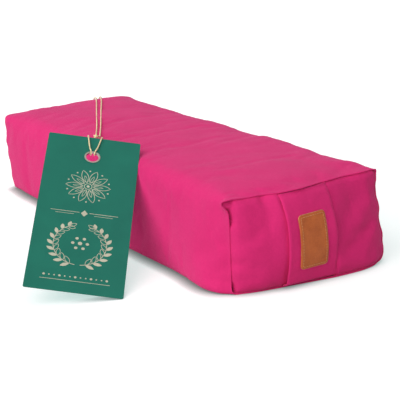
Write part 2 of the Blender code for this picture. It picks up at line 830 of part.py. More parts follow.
# Hand-chosen points of the twine, from the knot over the cushion, round the far handle and back
TWINE_ROUTE = (
    (0.0474, -0.1252, 0.1441),
    (0.0405, -0.1210, 0.1407),
    (0.0247, -0.1138, 0.1360),
    (0.0060, -0.1058, 0.1309),
    (-0.0180, -0.0945, 0.1249),
    (-0.0450, -0.0815, 0.1203),
    (-0.1000, -0.0540, 0.1218),
    (-0.1800, -0.0165, 0.1227),
    (-0.2500, 0.0165, 0.1226),
    (-0.2850, 0.0325, 0.1205),
    (-0.3100, 0.0440, 0.1176),
    (-0.3290, 0.0512, 0.1149),
    (-0.3370, 0.0524, 0.1126),
    (-0.3394, 0.0525, 0.1064),
    (-0.3428, 0.0512, 0.0967),
    (-0.3470, 0.0475, 0.0855),
    (-0.3492, 0.0410, 0.0779),
    (-0.3494, 0.0220, 0.0735),
    (-0.3496, 0.0000, 0.0719),
    (-0.3494, -0.0170, 0.0713),
    (-0.3502, -0.0285, 0.0708),
    (-0.3540, -0.0315, 0.0703),
    (-0.3568, -0.0270, 0.0698),
    (-0.3568, -0.0120, 0.0698),
    (-0.3568, 0.0060, 0.0702),
    (-0.3568, 0.0250, 0.0717),
    (-0.3562, 0.0400, 0.0748),
    (-0.3527, 0.0490, 0.0815),
    (-0.3468, 0.0560, 0.0916),
    (-0.3407, 0.0598, 0.1038),
    (-0.3367, 0.0608, 0.1120),
    (-0.3290, 0.0598, 0.1149),
    (-0.3100, 0.0520, 0.1176),
    (-0.2850, 0.0405, 0.1205),
    (-0.2500, 0.0245, 0.1226),
    (-0.1800, -0.0095, 0.1227),
    (-0.1000, -0.0480, 0.1222),
    (-0.0450, -0.0755, 0.1207),
    (-0.0180, -0.0885, 0.1253),
    (0.0060, -0.0998, 0.1313),
    (0.0247, -0.1080, 0.1364),
    (0.0415, -0.1168, 0.1407),
    (0.0489, -0.1221, 0.1434),
)


def make_twine(look):
    return make_tube("tag_twine", smooth_route([Vector(p) for p in TWINE_ROUTE]), TWINE, look)


def main():
    clear_scene()
    pink = material("pink_cotton", (0.78, 0.05, 0.22), 0.85)
    deep_pink = material("pink_cotton_end", (0.60, 0.03, 0.16), 0.85)
    webbing = material("pink_handle", (0.66, 0.03, 0.18), 0.85)
    leather = material("tan_leather", (0.42, 0.19, 0.06), 0.55)
    thread = material("tan_thread", (0.55, 0.33, 0.14), 0.7)
    lining = material("natural_cotton", (0.80, 0.76, 0.66), 0.9)
    hulls = material("buckwheat_hulls", (0.12, 0.08, 0.05), 0.8)
    tape = material("pink_zip_tape", (0.70, 0.04, 0.20), 0.8)
    nylon = material("pink_nylon", (0.72, 0.05, 0.22), 0.4)
    metal = material("zip_metal", (0.60, 0.60, 0.62), 0.3, 1.0)
    green = material("green_card", (0.02, 0.20, 0.13), 0.6)
    silver = material("eyelet_metal", (0.75, 0.74, 0.72), 0.3, 1.0)
    twine = material("cream_twine", (0.85, 0.62, 0.38), 0.85)

    make_body_panel(pink)
    make_end_panel("cover_end_panel_near", 1, deep_pink)
    make_end_panel("cover_end_panel_far", -1, deep_pink)
    make_strap("handle_strap_near", 1, STRAP_CENTRE, webbing)
    make_strap("handle_strap_far", -1, -STRAP_CENTRE, webbing)
    make_patch(leather)
    make_patch_stitching(thread)
    make_liner(lining)
    make_closing_thread(lining)
    make_filling(hulls)

    frame = add_empty("zip_line", zip_frame())
    make_tapes(frame, tape)
    make_coils(frame, nylon)
    make_stops(frame, metal)
    make_pull(make_slider(frame, metal), metal)

    matrix = card_frame()
    pivot = add_empty("tag_pivot", matrix @ Matrix.Translation(knot_place()))
    make_card(pivot, green)
    make_eyelet(pivot, silver)
    make_tag_loop(pivot, twine)
    make_knot(pivot, twine)
    make_twine(twine)


main()
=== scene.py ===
"""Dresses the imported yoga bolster: cotton cover, handles, leather patch, zip, swing tag and twine."""

import math

import bpy
import numpy as np
from mathutils import Matrix, Vector, noise


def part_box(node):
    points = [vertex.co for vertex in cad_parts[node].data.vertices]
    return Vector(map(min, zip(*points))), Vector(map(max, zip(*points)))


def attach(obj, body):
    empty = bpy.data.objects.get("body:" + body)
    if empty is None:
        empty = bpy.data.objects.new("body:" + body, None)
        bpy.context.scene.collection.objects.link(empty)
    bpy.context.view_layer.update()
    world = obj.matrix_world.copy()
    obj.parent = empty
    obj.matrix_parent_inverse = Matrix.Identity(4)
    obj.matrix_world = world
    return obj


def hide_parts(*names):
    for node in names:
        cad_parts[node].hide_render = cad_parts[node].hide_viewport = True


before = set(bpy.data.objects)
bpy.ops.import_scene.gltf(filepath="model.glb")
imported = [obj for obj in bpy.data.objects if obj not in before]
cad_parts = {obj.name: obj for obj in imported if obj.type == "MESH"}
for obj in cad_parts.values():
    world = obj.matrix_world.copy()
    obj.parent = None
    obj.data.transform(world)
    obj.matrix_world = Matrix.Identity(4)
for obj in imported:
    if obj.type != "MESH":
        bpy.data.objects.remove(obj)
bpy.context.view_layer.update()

# Sizes repeated from the part's source, in metres
LENGTH = 0.650
WIDTH = 0.200
HEIGHT = 0.112
TOP_RADIUS = 0.016
FOOT_RADIUS = 0.008
SEAM_RADIUS = 0.006
SIDE_BULGE = 0.0085
BULGE_LOW = 0.55
SPREAD = 0.008
CROWN = 0.009
CORNER_LIFT = 0.007
STRAIGHT_HALF = 0.240
ZIP_HEIGHT = 0.042
ZIP_SLOT = 0.013
ZIP_SLOT_HALF = 0.225
COIL_FOOT = -0.0010
COIL_TOP = 0.0010
COIL_GAP = 0.0012
COIL_WIDTH = 0.0024
COIL_HALF = 0.218
STRAP_WIDTH = 0.066
STRAP_THICKNESS = 0.0020
STRAP_CENTRE = -0.0085
PATCH_WIDTH = 0.037
PATCH_HEIGHT = 0.062
PATCH_CENTRE = (-0.0088, 0.0535)
PATCH_THICKNESS = 0.0018
PATCH_CORNER = 0.0040
STITCH_INSET = 0.0024
CARD_WIDTH = 0.114
CARD_HEIGHT = 0.250
CARD_THICKNESS = 0.0008
CARD_HEADING = math.radians(81.0)
CARD_SLOPE = math.radians(34.0)
CARD_TURN = math.radians(22.0)
CARD_FOOT = (0.2549, -0.2003)
HOLE_FROM_TOP = 0.0340
TWINE = 0.0020
KNOT_ABOVE_CARD = 0.0042
KNOT_BEHIND_CARD = 0.0006

# Camera, found from the seams of the cushion in the photograph
CAMERA_AZIMUTH = math.radians(61.786)
CAMERA_ELEVATION = math.radians(14.801)
CAMERA_ROLL = math.radians(-4.109)
CAMERA_DISTANCE = 1.911
CAMERA_TARGET = (0.0, 0.0, 0.070)
CAMERA_SLIDE = (0.041, -0.041)
FOCAL_PIXELS = 1439.66
PICTURE_PIXELS = 400
SENSOR = 36.0

# Grid of the cover
WIDE_STEPS = 34
HIGH_STEPS = 18
SLOT_FIRST = 5
SLOT_LAST = 8
END_ROWS = 17
MIDDLE_ROWS = 72


# Numbers on grids


def mix(a, b, share):
    return a + (b - a) * share


def smooth(share):
    share = np.clip(share, 0.0, 1.0)
    return share * share * (3 - 2 * share)


def unit(vectors):
    length = np.linalg.norm(vectors, axis=-1, keepdims=True)
    return vectors / np.maximum(length, 1e-12)


def doubled(grid, axis, cyclic=False):
    """The same surface with a smooth new point between each two neighbours along axis."""
    grid = np.moveaxis(grid, axis, 0)
    if cyclic:
        padded = np.concatenate([grid[-1:], grid, grid[:2]])
    else:
        padded = np.concatenate([2 * grid[:1] - grid[1:2], grid, 2 * grid[-1:] - grid[-2:-1]])
    new = (9 * (padded[1:-2] + padded[2:-1]) - padded[:-3] - padded[3:]) / 16
    made = np.empty((len(grid) + len(new), *grid.shape[1:]))
    made[0::2] = grid
    made[1::2] = new
    return np.moveaxis(made, 0, axis)


def finer(grid, cyclic=False):
    """The same surface with a smooth new point between each two neighbours, both ways."""
    return doubled(doubled(grid, 0), 1, cyclic)


def grid_normals(grid, cyclic=False):
    along = (np.roll(grid, -1, 1) - np.roll(grid, 1, 1)) / 2 if cyclic else np.gradient(grid, axis=1)
    return unit(np.cross(np.gradient(grid, axis=0), along))


def noise_at(points, size, seed, stretch=1.0):
    """Smooth noise within about 0.5 of zero, in features of size metres, and size / stretch along X."""
    shift = Vector((17.3 * seed, -9.1 * seed, 5.7 * seed))
    flat = (points * (stretch, 1.0, 1.0)).reshape(-1, 3) / size
    values = [noise.noise(Vector(point) + shift) for point in flat]
    return np.array(values).reshape(points.shape[:-1])


def line_at(table, value):
    """Height of a broken line of (place, height) pairs at value."""
    return np.interp(value, *zip(*table))


def runs_along(line):
    """Distance along a line from its first point to each of its points."""
    return np.concatenate([[0.0], np.linalg.norm(np.diff(line, axis=0), axis=1).cumsum()])


def placed(matrix, points):
    """Points given in the axes of matrix, as points of the scene."""
    return np.array([tuple(matrix @ Vector(p)) for p in np.reshape(points, (-1, 3))])


def posed(origin, heading, slope, turn=0.0, slide=(0.0, 0.0, 0.0)):
    """Axes turned by a heading, a slope and a turn in their plane, and slid along themselves from origin."""
    made = Matrix.Translation(origin)
    for angle, axis in ((heading, "Z"), (slope, "X"), (turn, "Z")):
        made = made @ Matrix.Rotation(angle, 4, axis)
    return made @ Matrix.Translation(slide)


def distance_to(points, line):
    """Distance from each point to a broken line."""
    nearest = np.full(points.shape[:-1], np.inf)
    for first, last in zip(line, line[1:]):
        run = np.subtract(last, first)
        share = np.clip((points - first) @ run / (run @ run), 0, 1)
        gap = np.linalg.norm(points - first - share[..., None] * run, axis=-1)
        nearest = np.minimum(nearest, gap)
    return nearest


def ridge(points, line, width):
    """1 on a broken line, falling smoothly to 0 at about twice the width from it."""
    return np.exp(-((distance_to(points, line) / width) ** 2))


# Shape of the cushion


def side_path(share, length, first, last):
    """Distance along a straight side with round ends, and depth behind it, at shares of the whole."""
    whole = length + (math.pi / 4 - 1) * (first + last)
    run = share * whole
    start = np.clip(math.pi / 4 - run / first, 0, None)
    finish = np.clip(math.pi / 4 - (whole - run) / last, 0, None)
    straight = np.clip(run - math.pi * first / 4, 0, length - first - last) + first
    along = straight - first * np.sin(start) + last * np.sin(finish)
    depth = first * (1 - np.cos(start)) + last * (1 - np.cos(finish))
    return along, depth


WIDE_SHARES = np.linspace(0, 1, WIDE_STEPS + 1)
HIGH_SHARES = np.linspace(0, 1, HIGH_STEPS + 1)


def slot_shares():
    """Shares up the back that put two grid lines on the edges of the zip's slot."""
    turned = (math.pi / 4 - 1) * FOOT_RADIUS
    whole = HEIGHT + turned + (math.pi / 4 - 1) * TOP_RADIUS
    low = (turned + ZIP_HEIGHT - ZIP_SLOT / 2) / whole
    high = (turned + ZIP_HEIGHT + ZIP_SLOT / 2) / whole
    steps = np.arange(HIGH_STEPS + 1)
    return np.interp(steps, [0, SLOT_FIRST, SLOT_LAST, HIGH_STEPS], [0, low, high, 1])


BACK_SHARES = slot_shares()
RING = 2 * (WIDE_STEPS + HIGH_STEPS)


def blend_at(x):
    share = np.clip((abs(x) - STRAIGHT_HALF) / (LENGTH / 2 - STRAIGHT_HALF), 0, 1)
    return share**2


def side_swell(up):
    """How far the filling pushes a side out, by height from 0 to 1."""
    level = np.clip(up, 0, 1) ** BULGE_LOW
    return SIDE_BULGE * 4 * level * (1 - level) + SPREAD * (1 - up) ** 2


def ring_at(blend, inset):
    """(y, z) round the cushion: up the back, over, down the front and under."""
    half = WIDTH / 2 - inset
    high = HEIGHT - 2 * inset
    top = mix(TOP_RADIUS, SEAM_RADIUS, blend)
    foot = mix(FOOT_RADIUS, SEAM_RADIUS, blend)
    along, depth = side_path(BACK_SHARES, high, foot, top)
    back = np.stack([half - depth, along], 1)
    along, depth = side_path(WIDE_SHARES, 2 * half, top, top)
    over = np.stack([half - along, high - depth], 1)
    along, depth = side_path(WIDE_SHARES, 2 * half, foot, foot)
    under = np.stack([along - half, depth], 1)
    along, depth = side_path(HIGH_SHARES, high, top, foot)
    front = np.stack([depth - half, high - along], 1)
    ring = np.concatenate([back[:-1], over[:-1], front[:-1], under[:-1]])
    y, z = ring[:, 0], ring[:, 1]
    across, up = y / half, z / high
    crown = CROWN * (1 - blend) * (1 - across**4) * up**2
    lift = CORNER_LIFT * blend**2 * np.clip(across, 0, 1) ** 8 * (1 - up)
    return np.stack([y + across * (1 - blend) * side_swell(up), z + crown + lift + inset], 1)


# Where the near end seam runs, from the photograph: y or z against x
NEAR_TOP = ((-0.103, 0.3285), (-0.078, 0.3325), (-0.058, 0.3350), (-0.040, 0.3420), (-0.0145, 0.3425),
            (0.0245, 0.3345), (0.054, 0.3295), (0.080, 0.3305), (0.103, 0.3255))
NEAR_BOTTOM = ((-0.100, 0.3245), (-0.083, 0.3325), (-0.066, 0.3370), (-0.047, 0.3400), (-0.020, 0.3435),
               (0.024, 0.3500), (0.046, 0.3505), (0.063, 0.3500), (0.080, 0.3465), (0.100, 0.3375))
NEAR_FRONT = ((0.0, 0.3230), (0.055, 0.3262), (0.110, 0.3285))
NEAR_BACK = ((0.0, 0.3370), (0.020, 0.3340), (0.054, 0.3275), (0.084, 0.3250), (0.110, 0.3265))
# How far the far end bows out across its middle and up its sides, and how far in its top at the back lies
FAR_BOW = 0.013
FAR_SIDE_BOW = 0.003
FAR_BACK_STEP = 0.009

# How far the low front of the near end swells past its plain section, against x
NEAR_SWELL = ((0.200, 0.0), (0.240, 0.0022), (0.265, 0.0062), (0.287, 0.0105), (0.300, 0.0108),
              (0.313, 0.0085), (0.320, 0.0030), (0.3240, 0.0))
# How far its back is pushed out, and over what length that sets in
NEAR_BACK_SWELL = 0.0028
NEAR_BACK_RUN = 0.060

# How far the low front of the far end is drawn in, against x
FAR_DRAW = ((-0.340, 0.0005), (-0.318, 0.0055), (-0.295, 0.0095), (-0.238, 0.0115), (-0.190, 0.0070),
            (-0.120, 0.0))

# How far the end seams are drawn under at the floor, up to what height, how near the sides, and from where
# along X
SEAM_TUCK = 0.0025
TUCK_HIGH = 0.011
TUCK_SIDE = 0.014
TUCK_START = 0.290
TUCK_RUN = 0.030

# Powers that shape the dome of an end panel, across and up, and that crowd the rows toward the ends
DOME = (0.45, 0.60)
END_CROWDING = 1.25


def near_seam_x(y, z):
    """Where the near end seam would lie at (y, z), filled in between its four sides."""
    across = np.clip((y + WIDTH / 2) / WIDTH, 0, 1)
    up = np.clip(z / HEIGHT, 0, 1)
    level = mix(line_at(NEAR_BOTTOM, y), line_at(NEAR_TOP, y), up)
    upright = mix(line_at(NEAR_FRONT, z), line_at(NEAR_BACK, z), across)
    low = mix(NEAR_FRONT[0][1], NEAR_BACK[0][1], across)
    high = mix(NEAR_FRONT[-1][1], NEAR_BACK[-1][1], across)
    return level + upright - mix(low, high, up)


def far_seam_x(y, z):
    across = np.clip(abs(y) / (WIDTH / 2), 0, 1)
    up = np.clip(z / HEIGHT, 0, 1)
    bow = FAR_BOW * (1 - across**2) + FAR_SIDE_BOW * across**2 * (1 - (2 * up - 1) ** 2)
    return -LENGTH / 2 - bow + FAR_BACK_STEP * smooth(y / (WIDTH / 2)) * up


def swell(points):
    """Sideways push of the low front and of the near end's back."""
    x, y, z = np.moveaxis(points, -1, 0)
    across = np.clip(abs(y) / (WIDTH / 2), 0, 1) ** 3
    low = np.clip(1 - z / HEIGHT, 0, 1) ** 2
    front = (line_at(FAR_DRAW, x) - line_at(NEAR_SWELL, x)) * low
    back = NEAR_BACK_SWELL * smooth((x - STRAIGHT_HALF) / NEAR_BACK_RUN)
    return across * np.where(y < 0, front, back)


def tuck(points):
    """How far the end seams are drawn under along the floor, where the ends sag over them."""
    x, y, z = np.moveaxis(points, -1, 0)
    low = 1 - smooth(z / TUCK_HIGH)
    inner = smooth((WIDTH / 2 - abs(y)) / TUCK_SIDE)
    return SEAM_TUCK * low * inner * smooth((abs(x) - TUCK_START) / TUCK_RUN) * np.sign(x)


def row_places():
    shares = 1 - (1 - np.linspace(0, 1, END_ROWS + 1)[1:]) ** END_CROWDING
    end = mix(ZIP_SLOT_HALF, LENGTH / 2, shares)
    middle = np.linspace(-ZIP_SLOT_HALF, ZIP_SLOT_HALF, MIDDLE_ROWS + 1)
    return np.concatenate([-end[::-1], middle, end])


ROWS = row_places()


def body_grid(inset):
    """Points of the wrap-round cloth, rows along X by points round."""
    grid = np.empty((len(ROWS), RING, 3))
    for row, x in zip(grid, ROWS):
        blend = blend_at(x)
        ring = ring_at(blend, inset)
        seam = near_seam_x(*ring.T) if x > 0 else far_seam_x(*ring.T)
        out = (abs(seam) - LENGTH / 2) * blend
        row[:, 0] = x * (1 - 2 * inset / LENGTH) + math.copysign(1, x) * out
        row[:, 1:] = ring
    grid[..., 1] += swell(grid)
    return grid


def cap_edges(ring):
    """The four sides of an end, as rows of points running from +Y to -Y and from the floor up."""
    first, second, third = HIGH_STEPS, HIGH_STEPS + WIDE_STEPS, 2 * HIGH_STEPS + WIDE_STEPS
    back = ring[: first + 1]
    top = ring[first : second + 1]
    front = ring[second : third + 1][::-1]
    under = np.concatenate([ring[third:], ring[:1]])[::-1]
    return back, top, front, under


def cap_grid(ring, bulge):
    """Points of an end panel inside its seam: WIDE_STEPS across by HIGH_STEPS up."""
    back, top, front, under = cap_edges(ring)
    i = np.linspace(0, 1, WIDE_STEPS + 1)[:, None, None]
    j = np.linspace(0, 1, HIGH_STEPS + 1)[None, :, None]
    level = (1 - j) * under[:, None] + j * top[:, None]
    upright = (1 - i) * back[None] + i * front[None]
    corners = (1 - i) * ((1 - j) * back[0] + j * back[-1]) + i * ((1 - j) * front[0] + j * front[-1])
    grid = level + upright - corners
    dome = np.sin(math.pi * i) ** DOME[0] * np.sin(math.pi * j) ** DOME[1]
    high = mix(bulge[0], bulge[1], smooth((i - 0.3) / 0.4))
    grid[:, :, 0] += (high * dome)[:, :, 0]
    return grid


def quads(index, cyclic=False):
    """Faces over a grid of point numbers."""
    after = np.roll(index, -1, 1) if cyclic else index[:, 1:]
    here = index if cyclic else index[:, :-1]
    return np.stack([here[:-1], after[:-1], after[1:], here[1:]], -1).reshape(-1, 4).tolist()


def numbered(grid):
    """The numbers of a grid's points, in the grid's rows."""
    return np.arange(grid.size // 3).reshape(grid.shape[:2])


def shell(inset, near_bulge, far_bulge):
    """The whole cover as one closed mesh: points, faces, and the index grids of body and ends."""
    body = body_grid(inset)
    body_index = numbered(body)
    count = body_index.size
    points = [body.reshape(-1, 3)]
    faces = quads(body_index, True)
    indices = [body_index]
    for row, bulge, way in ((-1, near_bulge, 1), (0, [-high for high in far_bulge], -1)):
        index = np.zeros((WIDE_STEPS + 1, HIGH_STEPS + 1), int)
        index[0, :], index[:, -1], index[-1, :], index[:, 0] = cap_edges(body_index[row])
        inner = cap_grid(body[row], bulge)[1:-1, 1:-1].reshape(-1, 3)
        index[1:-1, 1:-1] = np.arange(count, count + len(inner)).reshape(WIDE_STEPS - 1, -1)
        count += len(inner)
        points.append(inner)
        indices.append(index)
        faces += [face[::way] for face in quads(index)]
    points = np.concatenate(points)
    points[:, 0] -= tuck(points)
    return points, faces, *indices


# Meshes


def add_mesh(name, shape, look, smooth_angle=180):
    """An object from (points, faces); edges sharper than smooth_angle stay sharp."""
    points, faces = shape
    mesh = bpy.data.meshes.new(name)
    mesh.from_pydata([tuple(p) for p in np.asarray(points, float).reshape(-1, 3)], [], faces)
    mesh.validate()
    mesh.shade_smooth()
    if smooth_angle == 0:
        mesh.shade_flat()
    elif smooth_angle < 180:
        mesh.set_sharp_from_angle(angle=math.radians(smooth_angle))
    made = bpy.data.objects.new(name, mesh)
    mesh.materials.append(look)
    bpy.context.scene.collection.objects.link(made)
    return made


def add_uv(piece, places):
    """Lays the cloth's own measure, in metres, on the mesh: one (u, v) for each point."""
    layer = piece.data.uv_layers.new(name="cloth")
    points = np.zeros(len(piece.data.loops), int)
    piece.data.loops.foreach_get("vertex_index", points)
    layer.data.foreach_set("uv", np.asarray(places, float).reshape(-1, 2)[points].ravel())


def thicken(piece, thickness):
    solid = piece.modifiers.new("Thickness", "SOLIDIFY")
    solid.thickness = thickness
    solid.offset = -1.0


def add_piece(name, shape, look, body, node=None, angle=180, cloth=None, thickness=0.0):
    """A visible piece riding on a body, in place of node if one is named; cloth is its (u, v) measure."""
    piece = add_mesh(name, shape, look, angle)
    if cloth is not None:
        add_uv(piece, cloth)
    if thickness:
        thicken(piece, thickness)
    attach(piece, body)
    if node:
        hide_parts(node)
    return piece


def bevel(node, width):
    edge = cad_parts[node].modifiers.new("Edge", "BEVEL")
    edge.width = width
    edge.segments = 2
    edge.limit_method = "ANGLE"


def repaint(node, look):
    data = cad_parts[node].data
    data.materials.clear()
    data.materials.append(look)


def smooth_line(route, spacing):
    """Points along a smooth curve through route, about spacing apart."""
    route = [Vector(p) for p in route]
    padded = [route[0] * 2 - route[1], *route, route[-1] * 2 - route[-2]]
    points = []
    for index in range(1, len(padded) - 2):
        a, b, c, d = padded[index - 1 : index + 3]
        steps = max(1, round((c - b).length / spacing))
        for step in range(steps):
            t = step / steps
            square = (a * 2 - b * 5 + c * 4 - d) * t**2
            cube = (b * 3 - a - c * 3 + d) * t**3
            points.append((b * 2 + (c - a) * t + square + cube) / 2)
    points.append(route[-1])
    return np.array([tuple(p) for p in points])


def ring_round(point, tangent, side, outline, turn=0.0):
    """The (r, angle) pairs of outline round a point of a line; side is where the angle is 0."""
    other = np.cross(tangent, side)
    turned = [(r, angle + turn) for r, angle in outline]
    return [point + r * (math.cos(angle) * side + math.sin(angle) * other) for r, angle in turned]


def tube(path, outline, twist_length=math.inf, start=(0.0, 0.0, 1.0)):
    """A tube along path, as (points, faces), whose outline turns once each twist_length."""
    tangents = unit(np.gradient(path, axis=0))
    side = unit(np.cross(tangents[0], start))
    rings = []
    for point, tangent, run in zip(path, tangents, runs_along(path)):
        side = unit(side - tangent * np.dot(side, tangent))
        rings.append(ring_round(point, tangent, side, outline, 2 * math.pi * run / twist_length))
    grid = numbered(np.array(rings))
    faces = [*quads(grid, True), grid[0, ::-1].tolist(), grid[-1].tolist()]
    return np.array(rings).reshape(-1, 3), [face[::-1] for face in faces]


def circle_outline(radius, sides):
    return [(radius, 2 * math.pi * k / sides) for k in range(sides)]


def gathered(parts):
    """Several (points, faces) as one."""
    points, faces, count = [], [], 0
    for some, over in parts:
        points.append(np.reshape(some, (-1, 3)))
        faces += [[i + count for i in face] for face in over]
        count += len(points[-1])
    return np.concatenate(points), faces


# How deep a stitch's ends go in, by its width, and how thin they are
STITCH_SINK = 0.45
STITCH_TIP = 0.35


def stitch_run(path, out, length, gap, width, rise):
    """Separate stitches along a path: each a short thread that arches out of the cloth at both ends."""
    runs = runs_along(path)
    count = max(1, int(runs[-1] / (length + gap)))
    pitch = runs[-1] / count
    shares = np.linspace(0.0, 1.0, 6)
    bow = np.sin(math.pi * shares) ** 0.5
    arch = rise * bow - width * STITCH_SINK * abs(2 * shares - 1) ** 4
    thin = mix(STITCH_TIP, 1.0, bow)[:, None, None]
    outline = circle_outline(width / 2, 6)
    parts = []
    for k in range(count):
        places = k * pitch + gap / 2 + shares * (pitch - gap)
        line = np.stack([np.interp(places, runs, column) for column in path.T], 1)
        line = line + unit(np.array(out)) * arch[:, None]
        points, faces = tube(line, outline, start=out)
        middles = line[:, None]
        parts.append((middles + (points.reshape(6, 6, 3) - middles) * thin, faces))
    return gathered(parts)


# Materials


class Nodes:
    """Adds nodes to a tree; values that are sockets are linked, others are set, and tuples are colours."""

    def __init__(self, tree):
        self.tree = tree

    def feed(self, socket, value):
        if isinstance(value, bpy.types.NodeSocket):
            self.tree.links.new(value, socket)
        else:
            socket.default_value = (*value, 1.0) if isinstance(value, tuple) else value

    def add(self, kind, values, **settings):
        node = self.tree.nodes.new(kind)
        for name, value in settings.items():
            setattr(node, name, value)
        for name, value in values.items():
            self.feed(node.inputs[name], value)
        return node

    def math(self, operation, first, second=0.0, third=0.0):
        return self.add("ShaderNodeMath", {0: first, 1: second, 2: third}, operation=operation).outputs[0]

    def place(self, kind="Object"):
        return self.add("ShaderNodeTexCoord", {}).outputs[kind]

    def seen(self):
        """1 for what the camera sees straight, mirrored or through something."""
        path = self.add("ShaderNodeLightPath", {}).outputs
        straight = self.math("MAXIMUM", path["Is Camera Ray"], path["Is Glossy Ray"])
        return self.math("MAXIMUM", straight, path["Is Transmission Ray"])


class Looks(Nodes):
    """Builds one material round its main shader."""

    def __init__(self, name):
        self.made = bpy.data.materials.new(name)
        self.made.use_nodes = True
        super().__init__(self.made.node_tree)
        self.shader = self.tree.nodes["Principled BSDF"]

    def cloud(self, size, detail=3.0, roughness=0.5):
        values = {"Vector": self.place(), "Scale": 1 / size, "Detail": detail, "Roughness": roughness}
        return self.add("ShaderNodeTexNoise", values).outputs[0]

    def between(self, share, low, high):
        """share, which lies about 0.5, spread from low to high."""
        values = {"Value": share, "From Min": 0.3, "From Max": 0.7, "To Min": low, "To Max": high}
        return self.add("ShaderNodeMapRange", values).outputs[0]

    def blend(self, share, first, second):
        return self.add("ShaderNodeMix", {0: share, 6: first, 7: second}, data_type="RGBA").outputs[2]

    def bump(self, height, distance, strength=1.0, below=None):
        values = {"Height": height, "Distance": distance, "Strength": strength}
        if below is not None:
            values["Normal"] = below
        return self.add("ShaderNodeBump", values).outputs[0]

    def finish(self, colour, roughness, normal=None, **plain):
        self.feed(self.shader.inputs["Base Color"], colour)
        self.feed(self.shader.inputs["Roughness"], roughness)
        if normal is not None:
            self.feed(self.shader.inputs["Normal"], normal)
        for name, value in plain.items():
            self.feed(self.shader.inputs[name.replace("_", " ")], value)
        return self.made


def darker(base, share):
    return tuple(share * part for part in base)


def weave(look, thread):
    """Height of a plain weave over the cloth's own measure, from 0 to 1."""
    parts = look.add("ShaderNodeSeparateXYZ", {0: look.place("UV")}).outputs
    counts = [look.math("DIVIDE", parts[axis], thread) for axis in (0, 1)]
    turns = [look.math("SINE", look.math("MULTIPLY", count, math.pi)) for count in counts]
    first, second = (look.math("ABSOLUTE", turn) for turn in turns)
    cell = look.math("ADD", look.math("FLOOR", counts[0]), look.math("FLOOR", counts[1]))
    over = look.math("PINGPONG", cell, 1.0)
    warp = look.math("MULTIPLY", over, first)
    weft = look.math("MULTIPLY", look.math("SUBTRACT", 1.0, over), second)
    both = look.math("MULTIPLY", first, second)
    return look.math("MULTIPLY_ADD", look.math("ADD", warp, weft), 0.4, look.math("MULTIPLY", both, 0.6))


def cotton(name, base, shade, thread=0.00075, sheen=0.13, tint=(1.0, 0.60, 0.95)):
    """Dyed cotton: a close weave with uneven threads, soft sheen, slight cloudiness in the dye, and painted
    shade in the hollows of the weave.
    """
    look = Looks(name)
    height = weave(look, thread)
    slub = look.cloud(0.0030, 2.0, 0.6)
    dye = look.cloud(0.060, 3.0, 0.55)
    colour = look.blend(look.between(dye, 0.0, 1.0), base, shade)
    colour = look.blend(look.between(slub, 0.0, 0.30), colour, darker(base, 0.82))
    # Painted shade: the low points of the weave are darkened toward a deeper pink, as if in shadow
    weave_shade = look.math("MULTIPLY", look.math("SUBTRACT", 1.0, height), 0.22)
    colour = look.blend(weave_shade, colour, darker(base, 0.60))
    normal = look.bump(slub, 0.0006, 0.35, look.bump(height, 0.00025, 0.35))
    plain = {"Sheen_Weight": sheen, "Sheen_Roughness": 0.45, "Sheen_Tint": tint}
    return look.finish(colour, look.between(slub, 0.78, 0.92), normal, Specular_IOR_Level=0.12, **plain)


def leather(name):
    """Tan leather: pebbled grain, cloudy dye, and paler wear on the high spots."""
    look = Looks(name)
    cells = {"Vector": look.place(), "Scale": 900.0}
    grain = look.add("ShaderNodeTexVoronoi", cells, feature="DISTANCE_TO_EDGE")
    broad = look.cloud(0.012, 5.0, 0.6)
    fine = look.cloud(0.0016, 4.0, 0.6)
    colour = look.blend(look.between(broad, 0.0, 1.0), (0.56, 0.130, 0.028), (0.42, 0.084, 0.016))
    colour = look.blend(look.between(fine, 0.0, 0.40), colour, (0.68, 0.21, 0.056))
    pits = look.math("MINIMUM", look.math("MULTIPLY", grain.outputs[0], 4.0), 1.0)
    normal = look.bump(broad, 0.0012, 0.4, look.bump(pits, 0.00018, 0.5))
    return look.finish(colour, look.between(fine, 0.42, 0.62), normal, Specular_IOR_Level=0.3)


def clouded(name, base, shade, cloud, rough, bump, share=1.0, **plain):
    """base clouded with shade; cloud, rough and bump say how coarse, matt and uneven it is."""
    look = Looks(name)
    patch = look.cloud(*cloud)
    colour = look.blend(look.between(patch, 0.0, share), base, shade)
    return look.finish(colour, look.between(patch, *rough), look.bump(patch, *bump), **plain)


def thread_look(name, base, shade, twist_size=0.0007):
    plain = {"Sheen_Weight": 0.2, "Specular_IOR_Level": 0.2}
    return clouded(name, base, shade, (twist_size, 2.0), (0.6, 0.8), (0.0002, 0.5), **plain)


def metal(name, base, worn):
    return clouded(name, base, worn, (0.003, 4.0, 0.6), (0.22, 0.40), (0.0001, 0.25), Metallic=1.0)


def board(name, base, shade, fleck):
    """Uncoated printed board: fibres, faint mottling and a little gloss."""
    look = Looks(name)
    fibre = look.cloud(0.0012, 6.0, 0.7)
    colour = look.blend(look.between(look.cloud(0.035, 2.0), 0.0, 1.0), base, shade)
    colour = look.blend(look.between(fibre, 0.0, 0.10), colour, fleck)
    normal = look.bump(fibre, 0.00015, 0.3)
    return look.finish(colour, look.between(fibre, 0.55, 0.70), normal, Specular_IOR_Level=0.15)


def husks(name):
    """Buckwheat hulls: small dark brown shells of mixed shades."""
    look = Looks(name)
    cell = look.add("ShaderNodeTexVoronoi", {"Vector": look.place(), "Scale": 260.0})
    tone = look.add("ShaderNodeSeparateColor", {0: cell.outputs["Color"]})
    colour = look.blend(tone.outputs[0], (0.060, 0.034, 0.020), (0.165, 0.095, 0.050))
    normal = look.bump(look.math("SUBTRACT", 1.0, cell.outputs["Distance"]), 0.0015, 0.9)
    return look.finish(colour, look.between(tone.outputs[1], 0.45, 0.65), normal)


PINK = (0.780, 0.028, 0.190)
PINK_SHADE = (0.725, 0.023, 0.170)
HANDLE_PINK = (0.86, 0.030, 0.205)

